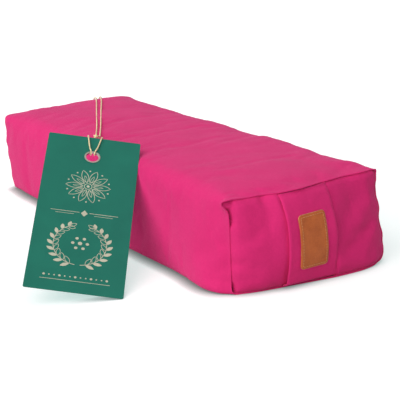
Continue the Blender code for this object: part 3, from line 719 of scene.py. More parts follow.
cover_look = cotton("cover_cotton", PINK, PINK_SHADE)
panel_look = cotton("end_panel_cotton", PINK, PINK_SHADE)
handle_look = cotton("handle_cotton", HANDLE_PINK, PINK, 0.0008)
lining_look = cotton("natural_cotton", (0.74, 0.68, 0.55), (0.66, 0.60, 0.47), 0.0009, 0.1,
                     (1.0, 0.95, 0.85))
tape_look = cotton("zip_tape_weave", (0.70, 0.024, 0.170), (0.62, 0.020, 0.150), 0.0005)
leather_look = leather("tan_leather")
hull_look = husks("buckwheat_hulls")
pink_thread = thread_look("pink_thread", (0.82, 0.050, 0.240), (0.62, 0.026, 0.160))
tan_thread = thread_look("tan_thread", (0.70, 0.36, 0.16), (0.56, 0.26, 0.10))
cream_thread = thread_look("cream_thread", (0.72, 0.66, 0.52), (0.58, 0.52, 0.40))
edge_look = thread_look("burnished_edge", (0.66, 0.30, 0.13), (0.50, 0.19, 0.07), 0.003)
coil_look = clouded("pink_nylon", (0.72, 0.028, 0.180), (0.54, 0.021, 0.135), (0.004, 2.0), (0.28, 0.42),
                    (0.0001, 0.3), 0.4)
zip_metal = metal("zip_metal", (0.62, 0.62, 0.64), (0.45, 0.45, 0.47))
eyelet_metal = metal("eyelet_metal", (0.46, 0.42, 0.37), (0.30, 0.27, 0.23))
green_card = board("green_card", (0.013, 0.173, 0.120), (0.011, 0.150, 0.106), (0.05, 0.28, 0.21))
cream_ink = board("cream_ink", (0.62, 0.60, 0.46), (0.52, 0.51, 0.39), (0.40, 0.44, 0.33))
twine_look = thread_look("cream_twine", (0.97, 0.83, 0.52), (0.88, 0.67, 0.37))


# Camera, lights and floor


def make_camera():
    data = bpy.data.cameras.new("camera")
    data.sensor_width = SENSOR
    data.lens = FOCAL_PIXELS * SENSOR / PICTURE_PIXELS
    data.clip_end = 100.0
    camera = bpy.data.objects.new("camera", data)
    aim = (CAMERA_AZIMUTH, math.pi / 2 - CAMERA_ELEVATION, CAMERA_ROLL)
    camera.matrix_world = posed(CAMERA_TARGET, *aim, (*CAMERA_SLIDE, CAMERA_DISTANCE))
    bpy.context.scene.collection.objects.link(camera)
    bpy.context.scene.camera = camera


SUN_FROM = (0.34, -0.76, 0.55)
SUN_STRENGTH = 2.00
SUN_ANGLE = math.radians(75.0)
SKY = 0.41
SKY_FROM = (-0.55, -0.55, 0.60)
SKY_SLOPE = 0.95
FLOOR_ALBEDO = (0.62, 0.62, 0.62)
FLOOR_SEEN = (0.76, 0.60, 0.63)
FLOOR_LIFT = (0.41, 0.59, 0.56)
FLOOR_SIZE = 30.0
# Painted shadow where the cushion meets the floor, made by darkening the floor's seen colour and glow with
# occlusion: how far it reaches, and the side it looks to
PAINTED_SHADOW_REACH = 0.015
PAINTED_SHADOW_SIDE = (0.45, 0.70, 0.55)


def make_lights():
    """A broad lamp, and a sky that is brighter on the side of a large soft window."""
    data = bpy.data.lights.new("key", "SUN")
    data.energy = SUN_STRENGTH
    data.angle = SUN_ANGLE
    lamp = bpy.data.objects.new("key", data)
    lamp.rotation_euler = Vector(SUN_FROM).to_track_quat("Z", "Y").to_euler()
    bpy.context.scene.collection.objects.link(lamp)
    world = bpy.data.worlds.new("studio")
    world.use_nodes = True
    sky = Nodes(world.node_tree)
    sides = {0: sky.place("Generated"), 1: Vector(SKY_FROM).normalized()}
    facing = sky.add("ShaderNodeVectorMath", sides, operation="DOT_PRODUCT").outputs["Value"]
    light = sky.math("MULTIPLY_ADD", facing, SKY * SKY_SLOPE, SKY)
    levels = {"Value": sky.seen(), "To Min": light, "To Max": 1.0}
    background = world.node_tree.nodes["Background"].inputs
    sky.feed(background["Color"], (1.0, 1.0, 1.0))
    sky.feed(background["Strength"], sky.add("ShaderNodeMapRange", levels).outputs[0])
    bpy.context.scene.world = world
    bpy.context.scene.view_settings.view_transform = "Standard"


def make_floor():
    """A pale floor that the camera sees as white, but for the object's shadow from the lamps and a painted
    contact shadow from occlusion.
    """
    look = Looks("pale_floor")
    seen = look.seen()
    # Painted shadow: occlusion near the cushion darkens the colour and glow that the camera sees
    toward = look.add("ShaderNodeCombineXYZ", dict(zip("XYZ", PAINTED_SHADOW_SIDE))).outputs[0]
    gap = look.add("ShaderNodeAmbientOcclusion", {"Distance": PAINTED_SHADOW_REACH, "Normal": toward}, samples=24)
    light = gap.outputs["AO"]
    look.feed(look.shader.inputs["Emission Strength"], look.math("MULTIPLY", seen, light))
    colour = look.blend(seen, FLOOR_ALBEDO, look.blend(light, (0.0, 0.0, 0.0), FLOOR_SEEN))
    look.finish(colour, 1.0, Specular_IOR_Level=0.0, Emission_Color=FLOOR_LIFT)
    half = FLOOR_SIZE / 2
    corners = [(-half, -half, 0.0), (half, -half, 0.0), (half, half, 0.0), (-half, half, 0.0)]
    add_mesh("floor", (corners, [(0, 1, 2, 3)]), look.made)


make_camera()
make_lights()
make_floor()


# Twine

# Points of the twine, from the knot over the cushion, round the far handle and back
TWINE_ROUTE = (
    (0.0474, -0.1252, 0.1441), (0.0405, -0.1210, 0.1407), (0.0247, -0.1138, 0.1360),
    (0.0060, -0.1058, 0.1309), (-0.0180, -0.0945, 0.1249), (-0.0450, -0.0815, 0.1203),
    (-0.1000, -0.0540, 0.1218), (-0.1800, -0.0165, 0.1227), (-0.2500, 0.0165, 0.1226),
    (-0.2850, 0.0325, 0.1205), (-0.3100, 0.0440, 0.1176), (-0.3290, 0.0512, 0.1149),
    (-0.3370, 0.0524, 0.1126), (-0.3394, 0.0525, 0.1064), (-0.3428, 0.0512, 0.0967),
    (-0.3470, 0.0475, 0.0855), (-0.3492, 0.0410, 0.0779), (-0.3494, 0.0220, 0.0735),
    (-0.3496, 0.0000, 0.0719), (-0.3494, -0.0170, 0.0713), (-0.3502, -0.0285, 0.0708),
    (-0.3540, -0.0315, 0.0703), (-0.3568, -0.0270, 0.0698), (-0.3568, -0.0120, 0.0698),
    (-0.3568, 0.0060, 0.0702), (-0.3568, 0.0250, 0.0717), (-0.3562, 0.0400, 0.0748),
    (-0.3527, 0.0490, 0.0815), (-0.3468, 0.0560, 0.0916), (-0.3407, 0.0598, 0.1038),
    (-0.3367, 0.0608, 0.1120), (-0.3290, 0.0598, 0.1149), (-0.3100, 0.0520, 0.1176),
    (-0.2850, 0.0405, 0.1205), (-0.2500, 0.0245, 0.1226), (-0.1800, -0.0095, 0.1227),
    (-0.1000, -0.0480, 0.1222), (-0.0450, -0.0755, 0.1207), (-0.0180, -0.0885, 0.1253),
    (0.0060, -0.0998, 0.1313), (0.0247, -0.1080, 0.1364), (0.0415, -0.1168, 0.1407),
    (0.0489, -0.1221, 0.1434),
)
PLY_TURN = 0.0052

CARD_CORNER = (*CARD_FOOT, CARD_THICKNESS / 2 * math.cos(CARD_SLOPE))
# x across the card, y up it, z out of its face; origin at the middle of its foot
CARD = posed(CARD_CORNER, CARD_HEADING, CARD_SLOPE, -CARD_TURN, (-CARD_WIDTH / 2, 0.0, 0.0))
KNOT = np.array([0.0, CARD_HEIGHT + KNOT_ABOVE_CARD, -KNOT_BEHIND_CARD])

# How far the loop's middle lies from the card's, on both of its faces
LOOP_FACE = 0.0023
# The knot's trefoil: half its size across, up and out, and the radius of its twine
KNOT_HALF = (0.0020, 0.0016, 0.0010)
KNOT_TWINE = 0.0009
KNOT_STEPS = 72


def loop_route():
    """The hitch: down behind the card, out through the eyelet, up the front, over the top and round."""
    top, hole = CARD_HEIGHT, CARD_HEIGHT - HOLE_FROM_TOP
    side = [
        (-0.0018, KNOT[1] - 0.0028, KNOT[2] - 0.0013),
        (-0.0030, top - 0.0040, -LOOP_FACE),
        (-0.0034, hole + 0.0150, -LOOP_FACE),
        (-0.0027, hole + 0.0088, -LOOP_FACE - 0.0002),
        (-0.0022, hole + 0.0062, -0.0019),
        (-0.0020, hole + 0.0054, 0.0),
        (-0.0022, hole + 0.0062, 0.0019),
        (-0.0028, hole + 0.0090, LOOP_FACE + 0.0002),
        (-0.0050, hole + 0.0160, LOOP_FACE),
        (-0.0080, top - 0.0024, LOOP_FACE),
        (-0.0086, top + 0.0010, 0.0016),
        (-0.0088, top + 0.0020, 0.0),
        (-0.0086, top + 0.0010, -0.0017),
        (-0.0080, top - 0.0040, -LOOP_FACE),
        (-0.0068, top - 0.0085, -LOOP_FACE - 0.0006),
        (-0.0052, top - 0.0102, -LOOP_FACE - 0.0014),
        (-0.0030, top - 0.0112, -LOOP_FACE - 0.0027),
    ]
    under = (0.0, top - 0.0115, -LOOP_FACE - 0.0028)
    return placed(CARD, [*side, under, *((-x, y, z) for x, y, z in reversed(side))])


def ply_outline(diameter):
    """Two plies laid together, as (radius, angle) round the cord."""
    return [(r * (0.66 + 0.34 * math.cos(a) ** 2), a) for r, a in circle_outline(diameter / 2, 12)]


def knot_shape():
    """An overhand knot pulled tight, as a closed trefoil of twine about the knot's middle."""
    t = 2 * math.pi * np.arange(KNOT_STEPS) / KNOT_STEPS
    across = (np.sin(t) + 2 * np.sin(2 * t)) / 3
    up = (np.cos(t) - 2 * np.cos(2 * t)) / 3
    path = placed(CARD, KNOT + np.stack([across, up, -np.sin(3 * t)], 1) * KNOT_HALF)
    tangents = unit(np.roll(path, -1, 0) - np.roll(path, 1, 0))
    sides = unit(np.cross(tangents, path - placed(CARD, KNOT)))
    outline = circle_outline(KNOT_TWINE, 8)
    rings = np.array([ring_round(*place, outline) for place in zip(path, tangents, sides)])
    index = numbered(rings)
    return rings, [face[::-1] for face in quads(np.concatenate([index, index[:1]]), True)]


def make_twine():
    path = smooth_line(TWINE_ROUTE, 0.0012)
    strands = tube(path, ply_outline(TWINE), PLY_TURN)
    twine = add_piece("tag_twine_cord", strands, twine_look, "cover", "tag_twine")
    path_loop = smooth_line(loop_route(), 0.0009)
    strands = tube(path_loop, ply_outline(TWINE), PLY_TURN)
    loop = add_piece("tag_loop_cord", strands, twine_look, "tag", "tag_loop")
    knot = add_piece("tag_knot_cord", knot_shape(), twine_look, "tag", "tag_knot")


make_twine()


# Cover: settling of the cloth

SETTLE_FRAMES = 20
SETTLE_INSET = 0.0015
SETTLE_CAP = 0.0012
SETTLE_SHARE = 0.35
BROAD_PASSES = 90
NEAR_BULGE = (0.0118, 0.0190)
FAR_BULGE = (0.0100, 0.0100)

# How the cover's cloth gives while it is blown up a little
CLOTH_RULES = {
    "quality": 6, "mass": 0.3, "tension_stiffness": 15.0, "compression_stiffness": 15.0,
    "shear_stiffness": 6.0, "bending_stiffness": 0.8, "use_pressure": True, "uniform_pressure_force": 4.0,
    "vertex_group_mass": "held", "vertex_group_shrink": "seam", "shrink_min": -0.02, "shrink_max": 0.06,
}
# How firmly the long edges hold their place, the height up to which the cloth stays on the floor, and how
# much the rows next to the end seams draw in, against the seams themselves
EDGE_HOLD = 0.7
FLOOR_HOLD = 0.002
SEAM_SHARE = 0.6


def settle(points, faces, held, seam):
    """The cover blown up a little as cloth, for the puckers that the filling and the seams make."""
    mesh = bpy.data.meshes.new("settling")
    mesh.from_pydata([tuple(p) for p in points], [], faces)
    piece = bpy.data.objects.new("settling", mesh)
    bpy.context.scene.collection.objects.link(piece)
    for name, weights in (("held", held), ("seam", seam)):
        group = piece.vertex_groups.new(name=name)
        for index in np.nonzero(weights > 0.01)[0]:
            group.add([int(index)], float(weights[index]), "REPLACE")
    cloth = piece.modifiers.new("Cloth", "CLOTH")
    for name, value in CLOTH_RULES.items():
        setattr(cloth.settings, name, value)
    cloth.settings.effector_weights.gravity = 0.0
    cloth.point_cache.frame_start = 1
    cloth.point_cache.frame_end = SETTLE_FRAMES
    for step in range(1, SETTLE_FRAMES + 1):
        bpy.context.scene.frame_set(step)
    result = piece.evaluated_get(bpy.context.evaluated_depsgraph_get()).data
    moved = np.empty(len(points) * 3)
    result.vertices.foreach_get("co", moved)
    bpy.data.objects.remove(piece)
    bpy.context.scene.frame_set(1)
    return moved.reshape(-1, 3)


def evened(values, faces):
    """values at the points of a mesh, averaged with their neighbours many times over."""
    corners = np.array(faces)
    ends = [corners.ravel(), np.roll(corners, -1, 1).ravel()]
    here, there = np.concatenate(ends), np.concatenate(ends[::-1])
    count = np.bincount(here)[:, None]
    for _ in range(BROAD_PASSES):
        total = np.stack([np.bincount(here, column[there]) for column in values.T], 1)
        values = (values + total / count) / 2
    return values


def settled_shell():
    """Points of the cover with the small folds that its cloth settles into; the broad shape is kept."""
    full, faces, body, near, far = shell(0.0, NEAR_BULGE, FAR_BULGE)
    points = shell(SETTLE_INSET, NEAR_BULGE, FAR_BULGE)[0]
    held = np.zeros(len(points))
    held[body[4:-4, [0, HIGH_STEPS, HIGH_STEPS + WIDE_STEPS, 2 * HIGH_STEPS + WIDE_STEPS]]] = EDGE_HOLD
    held[body[:, SLOT_FIRST - 2 : SLOT_LAST + 3]] = 1.0
    held[points[:, 2] < SETTLE_INSET + FLOOR_HOLD] = 1.0
    seam = np.zeros(len(points))
    seam[body[[0, -1]]] = 1.0
    seam[body[[1, -2]]] = SEAM_SHARE
    shift = settle(points, faces, held, seam) - points
    shift -= evened(shift, faces)
    shift *= SETTLE_SHARE
    size = np.linalg.norm(shift, axis=1, keepdims=True)
    shift *= np.tanh(size / SETTLE_CAP) * SETTLE_CAP / np.maximum(size, 1e-9)
    still = np.clip(held * 1.2, 0, 1)[:, None]
    return full + shift * (1 - still), body, near, far


# Folds that the photograph shows, as broken lines in metres: where, how wide, how high or deep
FOLDS = (
    (((0.337, -0.060, 0.1050), (0.342, -0.042, 0.0960)), 0.0042, -0.0042),
    (((0.345, 0.068, 0.088), (0.348, 0.040, 0.064)), 0.012, -0.0022),
    (((0.345, 0.085, 0.066), (0.350, 0.050, 0.050)), 0.008, 0.0012),
    (((0.345, 0.078, 0.050), (0.350, 0.042, 0.030)), 0.010, -0.0022),
    (((0.330, -0.094, 0.026), (0.340, -0.060, 0.015), (0.345, -0.036, 0.011)), 0.005, 0.0012),
    (((0.330, -0.092, 0.038), (0.342, -0.050, 0.026)), 0.007, -0.0014),
    (((0.300, -0.106, 0.070), (0.322, -0.101, 0.098)), 0.006, -0.0010),
    (((0.285, -0.108, 0.040), (0.320, -0.103, 0.062)), 0.009, -0.0012),
    (((0.322, 0.104, 0.090), (0.330, 0.098, 0.080)), 0.006, -0.0012),
    (((0.250, 0.040, 0.121), (0.322, 0.070, 0.114)), 0.012, -0.0010),
    (((0.262, -0.060, 0.120), (0.326, -0.082, 0.113)), 0.010, -0.0010),
    (((0.120, 0.084, 0.119), (0.200, 0.084, 0.118)), 0.024, 0.0030),
    (((-0.300, 0.082, 0.114), (-0.318, 0.088, 0.112)), 0.024, 0.0032),
)

# The ears of the near end's top corners: where, how wide, and which way they poke out
EARS = (
    ((0.3285, -0.1010, 0.1080), 0.0075, (-0.0020, -0.0095, 0.0012)),
    ((0.3280, 0.1020, 0.1095), 0.0050, (0.0004, 0.0016, 0.0008)),
)
# The zip's tapes hold the cloth flat this far to each side of it
ZIP_CALM = 0.016
ZIP_LINE = ((-ZIP_SLOT_HALF, WIDTH / 2, ZIP_HEIGHT), (ZIP_SLOT_HALF, WIDTH / 2, ZIP_HEIGHT))
# Puckers along the end seams: how high at the near and the far one, and how large
SEAM_RIPPLE = 0.0020
FAR_RIPPLE = 0.0034
RIPPLE_REACH = 0.013
# Waves of a full bag: how high, how large, their seed, and 1 over how far they are drawn out along X
WAVES = ((0.0026, 0.075, 2, 0.7), (0.00078, 0.028, 3, 1.0))
# The cloth lies flat on the floor, and its folds reach their full height at this height
FLAT_HEIGHT = 0.010
# The box inside the cushion that its surface faces away from: half its length and width, its bottom and top
CORE_HALF = (0.290, 0.080)
CORE_LOW = 0.030
CORE_HIGH = 0.090


def outward(points):
    """Direction out of the cushion at points on or near its surface."""
    length, width = CORE_HALF
    return unit(points - np.clip(points, (-length, -width, CORE_LOW), (length, width, CORE_HIGH)))


def seam_distance(points):
    """Rough distance to the nearer end seam."""
    x, y, z = np.moveaxis(points, -1, 0)
    seam = np.where(x > 0, near_seam_x(y, z), -far_seam_x(y, z))
    along = np.clip(seam - abs(x), 0, None)
    inside = np.minimum(WIDTH / 2 - abs(y), np.minimum(z, HEIGHT - z))
    return along + np.clip(inside, 0, None)


def folded(points):
    """points moved by the folds, the puckers along the end seams and the slow waves of a full bag."""
    high = sum(height * ridge(points, line, width) for line, width, height in FOLDS)
    near = np.exp(-seam_distance(points) / RIPPLE_REACH)
    ripple = np.where(points[..., 0] > 0, SEAM_RIPPLE, FAR_RIPPLE)
    high += near * ripple * noise_at(points, RIPPLE_REACH, 1, 0.35)
    high += sum(height * noise_at(points, *wave) for height, *wave in WAVES)
    high *= smooth((distance_to(points, ZIP_LINE) - ZIP_CALM) / ZIP_CALM)
    high *= smooth(points[..., 2] / FLAT_HEIGHT)
    made = points + outward(points) * high[..., None]
    for centre, width, push in EARS:
        share = np.exp(-((np.linalg.norm(points - centre, axis=-1) / width) ** 2))
        made += share[..., None] * push
    return made


shell_points, body_index, near_index, far_index = settled_shell()
body = folded(finer(shell_points[body_index], True))
near_panel, far_panel = (folded(finer(shell_points[index])) for index in (near_index, far_index))
body[:, :, 2] = np.maximum(body[:, :, 2], 0.0)


# Cover: cloth pieces

# The cover's rolled edge, step by step: how far past the seam and how far in from the surface
LIP = ((0.0005, 0.0003), (0.0006, 0.0010), (-0.0004, 0.0016), (-0.0030, 0.0018))
# How far an end panel's outermost two rows lie behind the seam, and how far they are turned in
EDGE_SINK = (0.0034, 0.0014)
EDGE_TUCK = 0.0010
COVER_CLOTH = 0.0009
PANEL_CLOTH = 0.0010
# How deep the handle's edges and its middle press into the end panel, how much room it leaves over the
# panel, how far its top bulges, and the heights where it ends
STRAP_GROOVE = 0.0010
STRAP_PRESS = 0.0004
STRAP_ROOM = 0.0010
STRAP_CROWN = 0.0030
STRAP_ENDS = (0.0018, 0.1098)
# Grooves between the near end panel and its front seam: where, how wide and how deep
CORNER_GROOVE = (((0.3285, -0.0975, 0.1080), (0.3275, -0.0980, 0.0850)), 0.0034, 0.0075)
GROOVE_IN = 0.0034
FOOT_GROOVE = (((0.3240, -0.0980, 0.0110), (0.3230, -0.0980, 0.0060)), 0.0030, 0.0020)

# The near handle's outer face, from the photograph: height against x, at its two edges
STRAP_FRONT = ((0.0015, 0.3400), (0.0055, 0.3500), (0.014, 0.3534), (0.027, 0.3580), (0.037, 0.3598),
               (0.051, 0.3610), (0.069, 0.3612), (0.081, 0.3590), (0.094, 0.3530), (0.104, 0.3472),
               (0.1085, 0.3430))
STRAP_BACK = ((0.0015, 0.3430), (0.004, 0.3480), (0.014, 0.3510), (0.030, 0.3542), (0.045, 0.3562),
              (0.059, 0.3556), (0.077, 0.3518), (0.090, 0.3462), (0.1045, 0.3388), (0.1085, 0.3350))
# The far handle's, which the twine holds close to the end
STRAP_FAR = ((0.0015, 0.3400), (0.005, 0.3465), (0.014, 0.3512), (0.027, 0.3542), (0.040, 0.3554),
             (0.055, 0.3556), (0.070, 0.3550), (0.082, 0.3538), (0.092, 0.3508), (0.102, 0.3445),
             (0.1085, 0.3385))

# From what height the near handle's crown rises, and over what height
STRAP_CROWN_START = 0.078
STRAP_CROWN_RUN = 0.026
# The handle's print on the end panel: how soft its edge and how wide its groove is, where it stops near
# the floor and the top, and where its groove ends
PRINT_SOFT = 0.004
PRINT_GROOVE = 0.0030
PRINT_FOOT = 0.010
PRINT_HEAD = 0.008
GROOVE_END = 0.098
GROOVE_FADE = 0.016
HELD_SOFT = 0.002


def strap_x(y, z, side=1):
    """How far out a handle's outer face is; y is seen from that end, as if it were the near one."""
    if side < 0:
        return line_at(STRAP_FAR, z)
    share = (y - STRAP_CENTRE) / STRAP_WIDTH + 0.5
    crown = STRAP_CROWN * smooth((z - STRAP_CROWN_START) / STRAP_CROWN_RUN)
    top = crown * np.clip(4 * share * (1 - share), 0, 1)
    return mix(line_at(STRAP_FRONT, z), line_at(STRAP_BACK, z), share) + top


def make_cover():
    normals = grid_normals(body, True)
    far_lip, near_lip = (
        [body[row] + np.array([side * over, 0.0, 0.0]) + normals[row] * down for over, down in LIP]
        for row, side in ((0, -1), (-1, 1))
    )
    whole = np.concatenate([far_lip[::-1], body, near_lip])
    index = numbered(whole)
    first = len(LIP) + 2 * END_ROWS
    slot = set(index[first : first + 2 * MIDDLE_ROWS, 2 * SLOT_FIRST : 2 * SLOT_LAST].ravel().tolist())
    faces = [face for face in quads(index, True) if face[0] not in slot]
    round_run = np.linalg.norm(np.roll(whole, -1, 1) - whole, axis=2).cumsum(1)
    add_piece("cover_body_cloth", (whole, faces), cover_look, "cover", "cover_body_panel",
              cloth=np.stack([round_run, whole[:, :, 0]], -1), thickness=COVER_CLOTH)


def strap_print(points, side):
    """How deep the handle presses the end panel: a little under it, and more along both of its edges."""
    from_middle = abs(points[..., 1] * side - STRAP_CENTRE)
    under = smooth((STRAP_WIDTH / 2 - from_middle) / PRINT_SOFT + 0.5)
    edge = np.exp(-(((from_middle - STRAP_WIDTH / 2) / PRINT_GROOVE) ** 2))
    z = points[..., 2]
    free = smooth(z / PRINT_FOOT) * smooth((HEIGHT - z) / PRINT_HEAD)
    low = smooth((GROOVE_END - z) / GROOVE_FADE)
    return free * (STRAP_PRESS * under + STRAP_GROOVE * low * edge)


def held_back(points, side):
    """x of an end panel's points, kept behind the handle that lies over it."""
    x, y, z = np.moveaxis(points, -1, 0) * np.reshape([side, side, 1], (3, 1, 1))
    limit = strap_x(y, z, side) - STRAP_THICKNESS - STRAP_ROOM
    under = smooth((STRAP_WIDTH / 2 - abs(y - STRAP_CENTRE)) / HELD_SOFT + 1.0)
    return side * mix(x, np.minimum(x, limit), under)


def stepped_out(count):
    """Grid numbers in which the second and the last but one stand for the first and the last."""
    numbers = np.arange(count)
    numbers[[1, -2]] = 0, count - 1
    return numbers


def make_panel(name, grid, side, node):
    """An end panel, its edge turned in behind the rolled edge of the cover."""
    panel = grid.copy()
    wide, high = panel.shape[:2]
    i, j = np.ogrid[:wide, :high]
    edge = np.minimum(np.minimum(i, wide - 1 - i), np.minimum(j, high - 1 - j))
    inward = unit((np.array([0.0, 0.0, HEIGHT / 2]) - panel) * (0.0, 1.0, 1.0))
    border = grid[stepped_out(wide)][:, stepped_out(high)]
    panel[edge == 0] = (panel + inward * EDGE_TUCK)[edge == 0]
    panel[edge == 1] = mix(border, grid, 0.5)[edge == 1]
    panel[:, :, 0] -= side * np.select([edge == 0, edge == 1], EDGE_SINK, 0.0)
    if side > 0:
        for line, width, depth in (CORNER_GROOVE, FOOT_GROOVE):
            share = ridge(panel, line, width)
            panel[:, :, 0] -= depth * share
            panel[:, :, 1] += GROOVE_IN * share
    panel[:, :, 0] -= side * strap_print(panel, side)
    panel[:, :, 0] = held_back(panel, side)
    faces = [face[::side] for face in quads(numbered(panel))]
    add_piece(name, (panel, faces), panel_look, "cover", node, cloth=panel[:, :, 1:],
              thickness=PANEL_CLOTH)


make_cover()
make_panel("end_panel_near_cloth", near_panel, 1, "cover_end_panel_near")
make_panel("end_panel_far_cloth", far_panel, -1, "cover_end_panel_far")


# Handles and patch

# Bands are rounded at their edges by this share of their thickness
BAND_EDGE = 0.45


def ribbon(outer, thickness):
    """A flat band with soft edges, from the grid of its outer face."""
    inner = outer - grid_normals(outer) * thickness
    across = unit(outer[:, -1] - outer[:, 0]) * thickness * BAND_EDGE
    left = (outer[:, 0] + inner[:, 0]) / 2 - across
    right = (outer[:, -1] + inner[:, -1]) / 2 + across
    loop = np.concatenate([outer, right[:, None], inner[:, ::-1], left[:, None]], 1)
    index = numbered(loop)
    faces = quads(index, True)
    last = outer.shape[1] - 1
    for row, way in ((index[0], 1), (index[-1], -1)):
        face, back = row[: last + 1], row[-2 : last + 1 : -1]
        ends = np.stack([face[:-1], back[:-1], back[1:], face[1:]], -1).tolist()
        ends += [row[[last, last + 2, last + 1]].tolist(), row[[0, -1, -2]].tolist()]
        faces += [end[::way] for end in ends]
    return loop, faces


# A handle's creases: how high and how large; they fade out toward its sewn ends
STRAP_CREASES = ((0.0016, 0.030), (0.0006, 0.011))
CREASE_FADE = 0.012


def make_strap(name, side, node):
    y, z = np.meshgrid(STRAP_CENTRE + STRAP_WIDTH * np.linspace(-0.5, 0.5, 23), np.linspace(*STRAP_ENDS, 65))
    grid = np.stack([strap_x(y, z, side), y, z], -1)
    free = smooth(np.minimum(z - STRAP_ENDS[0], STRAP_ENDS[1] - z) / CREASE_FADE)
    seeds = (5 + side, 8)
    creases = sum(high * noise_at(grid, size, seed) for (high, size), seed in zip(STRAP_CREASES, seeds))
    grid[:, :, 0] += free * creases
    grid[:, :, :2] *= side
    shape = ribbon(grid[:, ::-1], STRAP_THICKNESS)
    add_piece(name, shape, handle_look, "cover", node, 60, cloth=shape[0][:, :, 1:])


# How far the patch lies over the handle, and how uneven it is: how high, how large and the seed
PATCH_GAP = 0.0003
PATCH_WAVE = (0.0006, 0.014, 11)
# The radius of its cut edge, and how far that lies below the face
PATCH_EDGE = 0.0005
PATCH_EDGE_DROP = 0.0007
# Its stitches: length, gap, width and rise
PATCH_STITCH = (0.0024, 0.0009, 0.0007, 0.0004)


def patch_face(y, z, lift=0.0):
    """Points over the patch's outer face."""
    return np.stack([strap_x(y, z) + PATCH_THICKNESS + PATCH_GAP + lift, y, z], -1)


def patch_ring(inset, lift):
    """Points round the patch at a distance inside its edge, lift above its outer face."""
    radius = PATCH_CORNER - inset
    half = np.array([PATCH_WIDTH, PATCH_HEIGHT]) / 2 - inset - radius
    flat = []
    for start, signs in ((0, (1, 1)), (90, (-1, 1)), (180, (-1, -1)), (270, (1, -1))):
        angles = np.radians(start + np.linspace(0, 90, 7))
        flat += list(half * signs + radius * np.stack([np.cos(angles), np.sin(angles)], 1))
    fine = [flat[0]]
    for first, last in zip(flat, flat[1:] + flat[:1]):
        steps = 8 if math.dist(first, last) > 0.004 else 1
        fine += [mix(first, last, k / steps) for k in range(1, steps + 1)]
    return patch_face(*(np.array(fine) + PATCH_CENTRE).T, lift)


def make_patch():
    turn = PATCH_CORNER * (1 - np.cos(np.linspace(0, math.pi / 2, 7)))
    straight = np.linspace(PATCH_CORNER, PATCH_HEIGHT - PATCH_CORNER, 17)[1:-1]
    up = np.concatenate([turn, straight, PATCH_HEIGHT - turn[::-1]])[:, None]
    short = np.clip(PATCH_CORNER - np.minimum(up, PATCH_HEIGHT - up), 0, None)
    half = PATCH_WIDTH / 2 - PATCH_CORNER + np.sqrt(PATCH_CORNER**2 - short**2)
    y = PATCH_CENTRE[0] + half * np.linspace(1, -1, 17)
    outer = patch_face(y, PATCH_CENTRE[1] - PATCH_HEIGHT / 2 + up + 0 * y)
    wave, *cloud = PATCH_WAVE
    outer[:, :, 0] += wave * noise_at(outer, *cloud)
    hide = ribbon(outer, PATCH_THICKNESS)
    add_piece("leather_patch_hide", hide, leather_look, "cover", "leather_patch", 60)
    edge = tube(patch_ring(0.0, -PATCH_EDGE_DROP), circle_outline(PATCH_EDGE, 6))
    add_piece("leather_patch_edge", edge, edge_look, "cover")
    thread = stitch_run(patch_ring(STITCH_INSET, 0.0), (1.0, 0.0, 0.0), *PATCH_STITCH)
    add_piece("patch_stitches", thread, tan_thread, "cover", "patch_stitching")


make_strap("handle_near_band", 1, "handle_strap_near")
make_strap("handle_far_band", -1, "handle_strap_far")
make_patch()


# Zip


def zip_matrix():
    """x along the zip as it opens, y up the strip, z out of the cover; origin on the cover's outer face."""
    heights = (ZIP_HEIGHT - ZIP_SLOT / 2, ZIP_HEIGHT + ZIP_SLOT / 2)
    low, high = (WIDTH / 2 + float(side_swell(z / HEIGHT)) for z in heights)
    return posed((0.0, (low + high) / 2, ZIP_HEIGHT), math.pi, math.atan2(ZIP_SLOT, low - high))


ZIP = zip_matrix()
TEETH = 250
TOOTH = 0.00062
TOOTH_SHOULDER = 0.0003
# How far the teeth of each coil are set along the zip, by their lean, to lie beside the other's
TOOTH_SHIFT = 0.45
# The tapes' ribs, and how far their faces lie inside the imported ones
TAPE_RIB = 0.00012
TAPE_DROP = 0.00015
TAPE_THINNER = 0.0001
TAPE_COLUMNS = 13
TAPE_ROWS = 240
# Stitches along the zip and its end bars: length and gap, then width and rise; how high they lie
ZIP_STITCH = (0.0026, 0.0008)
ZIP_BAR = (0.0016, 0.0004)
ZIP_THREAD = (0.0005, 0.0003)
ZIP_THREAD_LIFT = 0.0001
# How far they run out from the slot's edge, toward the next line of the cloth's grid
ZIP_STITCH_OUT = 0.55


def make_coil(name, side, node):
    """A nylon coil as its separate turns, each bent over the edge of the tape."""
    pitch = 2 * COIL_HALF / TEETH
    inner = COIL_GAP / 2 + TOOTH / 2
    outer = COIL_GAP / 2 + COIL_WIDTH - TOOTH / 2
    low, high = COIL_FOOT + TOOTH / 2, COIL_TOP - TOOTH / 2
    lean = pitch / 2
    shoulder = high - TOOTH_SHOULDER
    turn = ((-lean / 2, outer, low), (-lean / 3, outer, shoulder), (0.0, (inner + outer) / 2, high),
            (lean / 3, inner, shoulder), (lean / 2, inner, low))
    parts = []
    for tooth in range(TEETH):
        x = -COIL_HALF + (tooth + 0.5) * pitch + side * lean * TOOTH_SHIFT
        line = np.array([(x + dx, side * y, z) for dx, y, z in turn])
        parts.append(tube(line, circle_outline(TOOTH / 2, 6), start=(1.0, 0.0, 0.0)))
    points, faces = gathered(parts)
    add_piece(name, (placed(ZIP, points), faces), coil_look, "cover", node, 50)


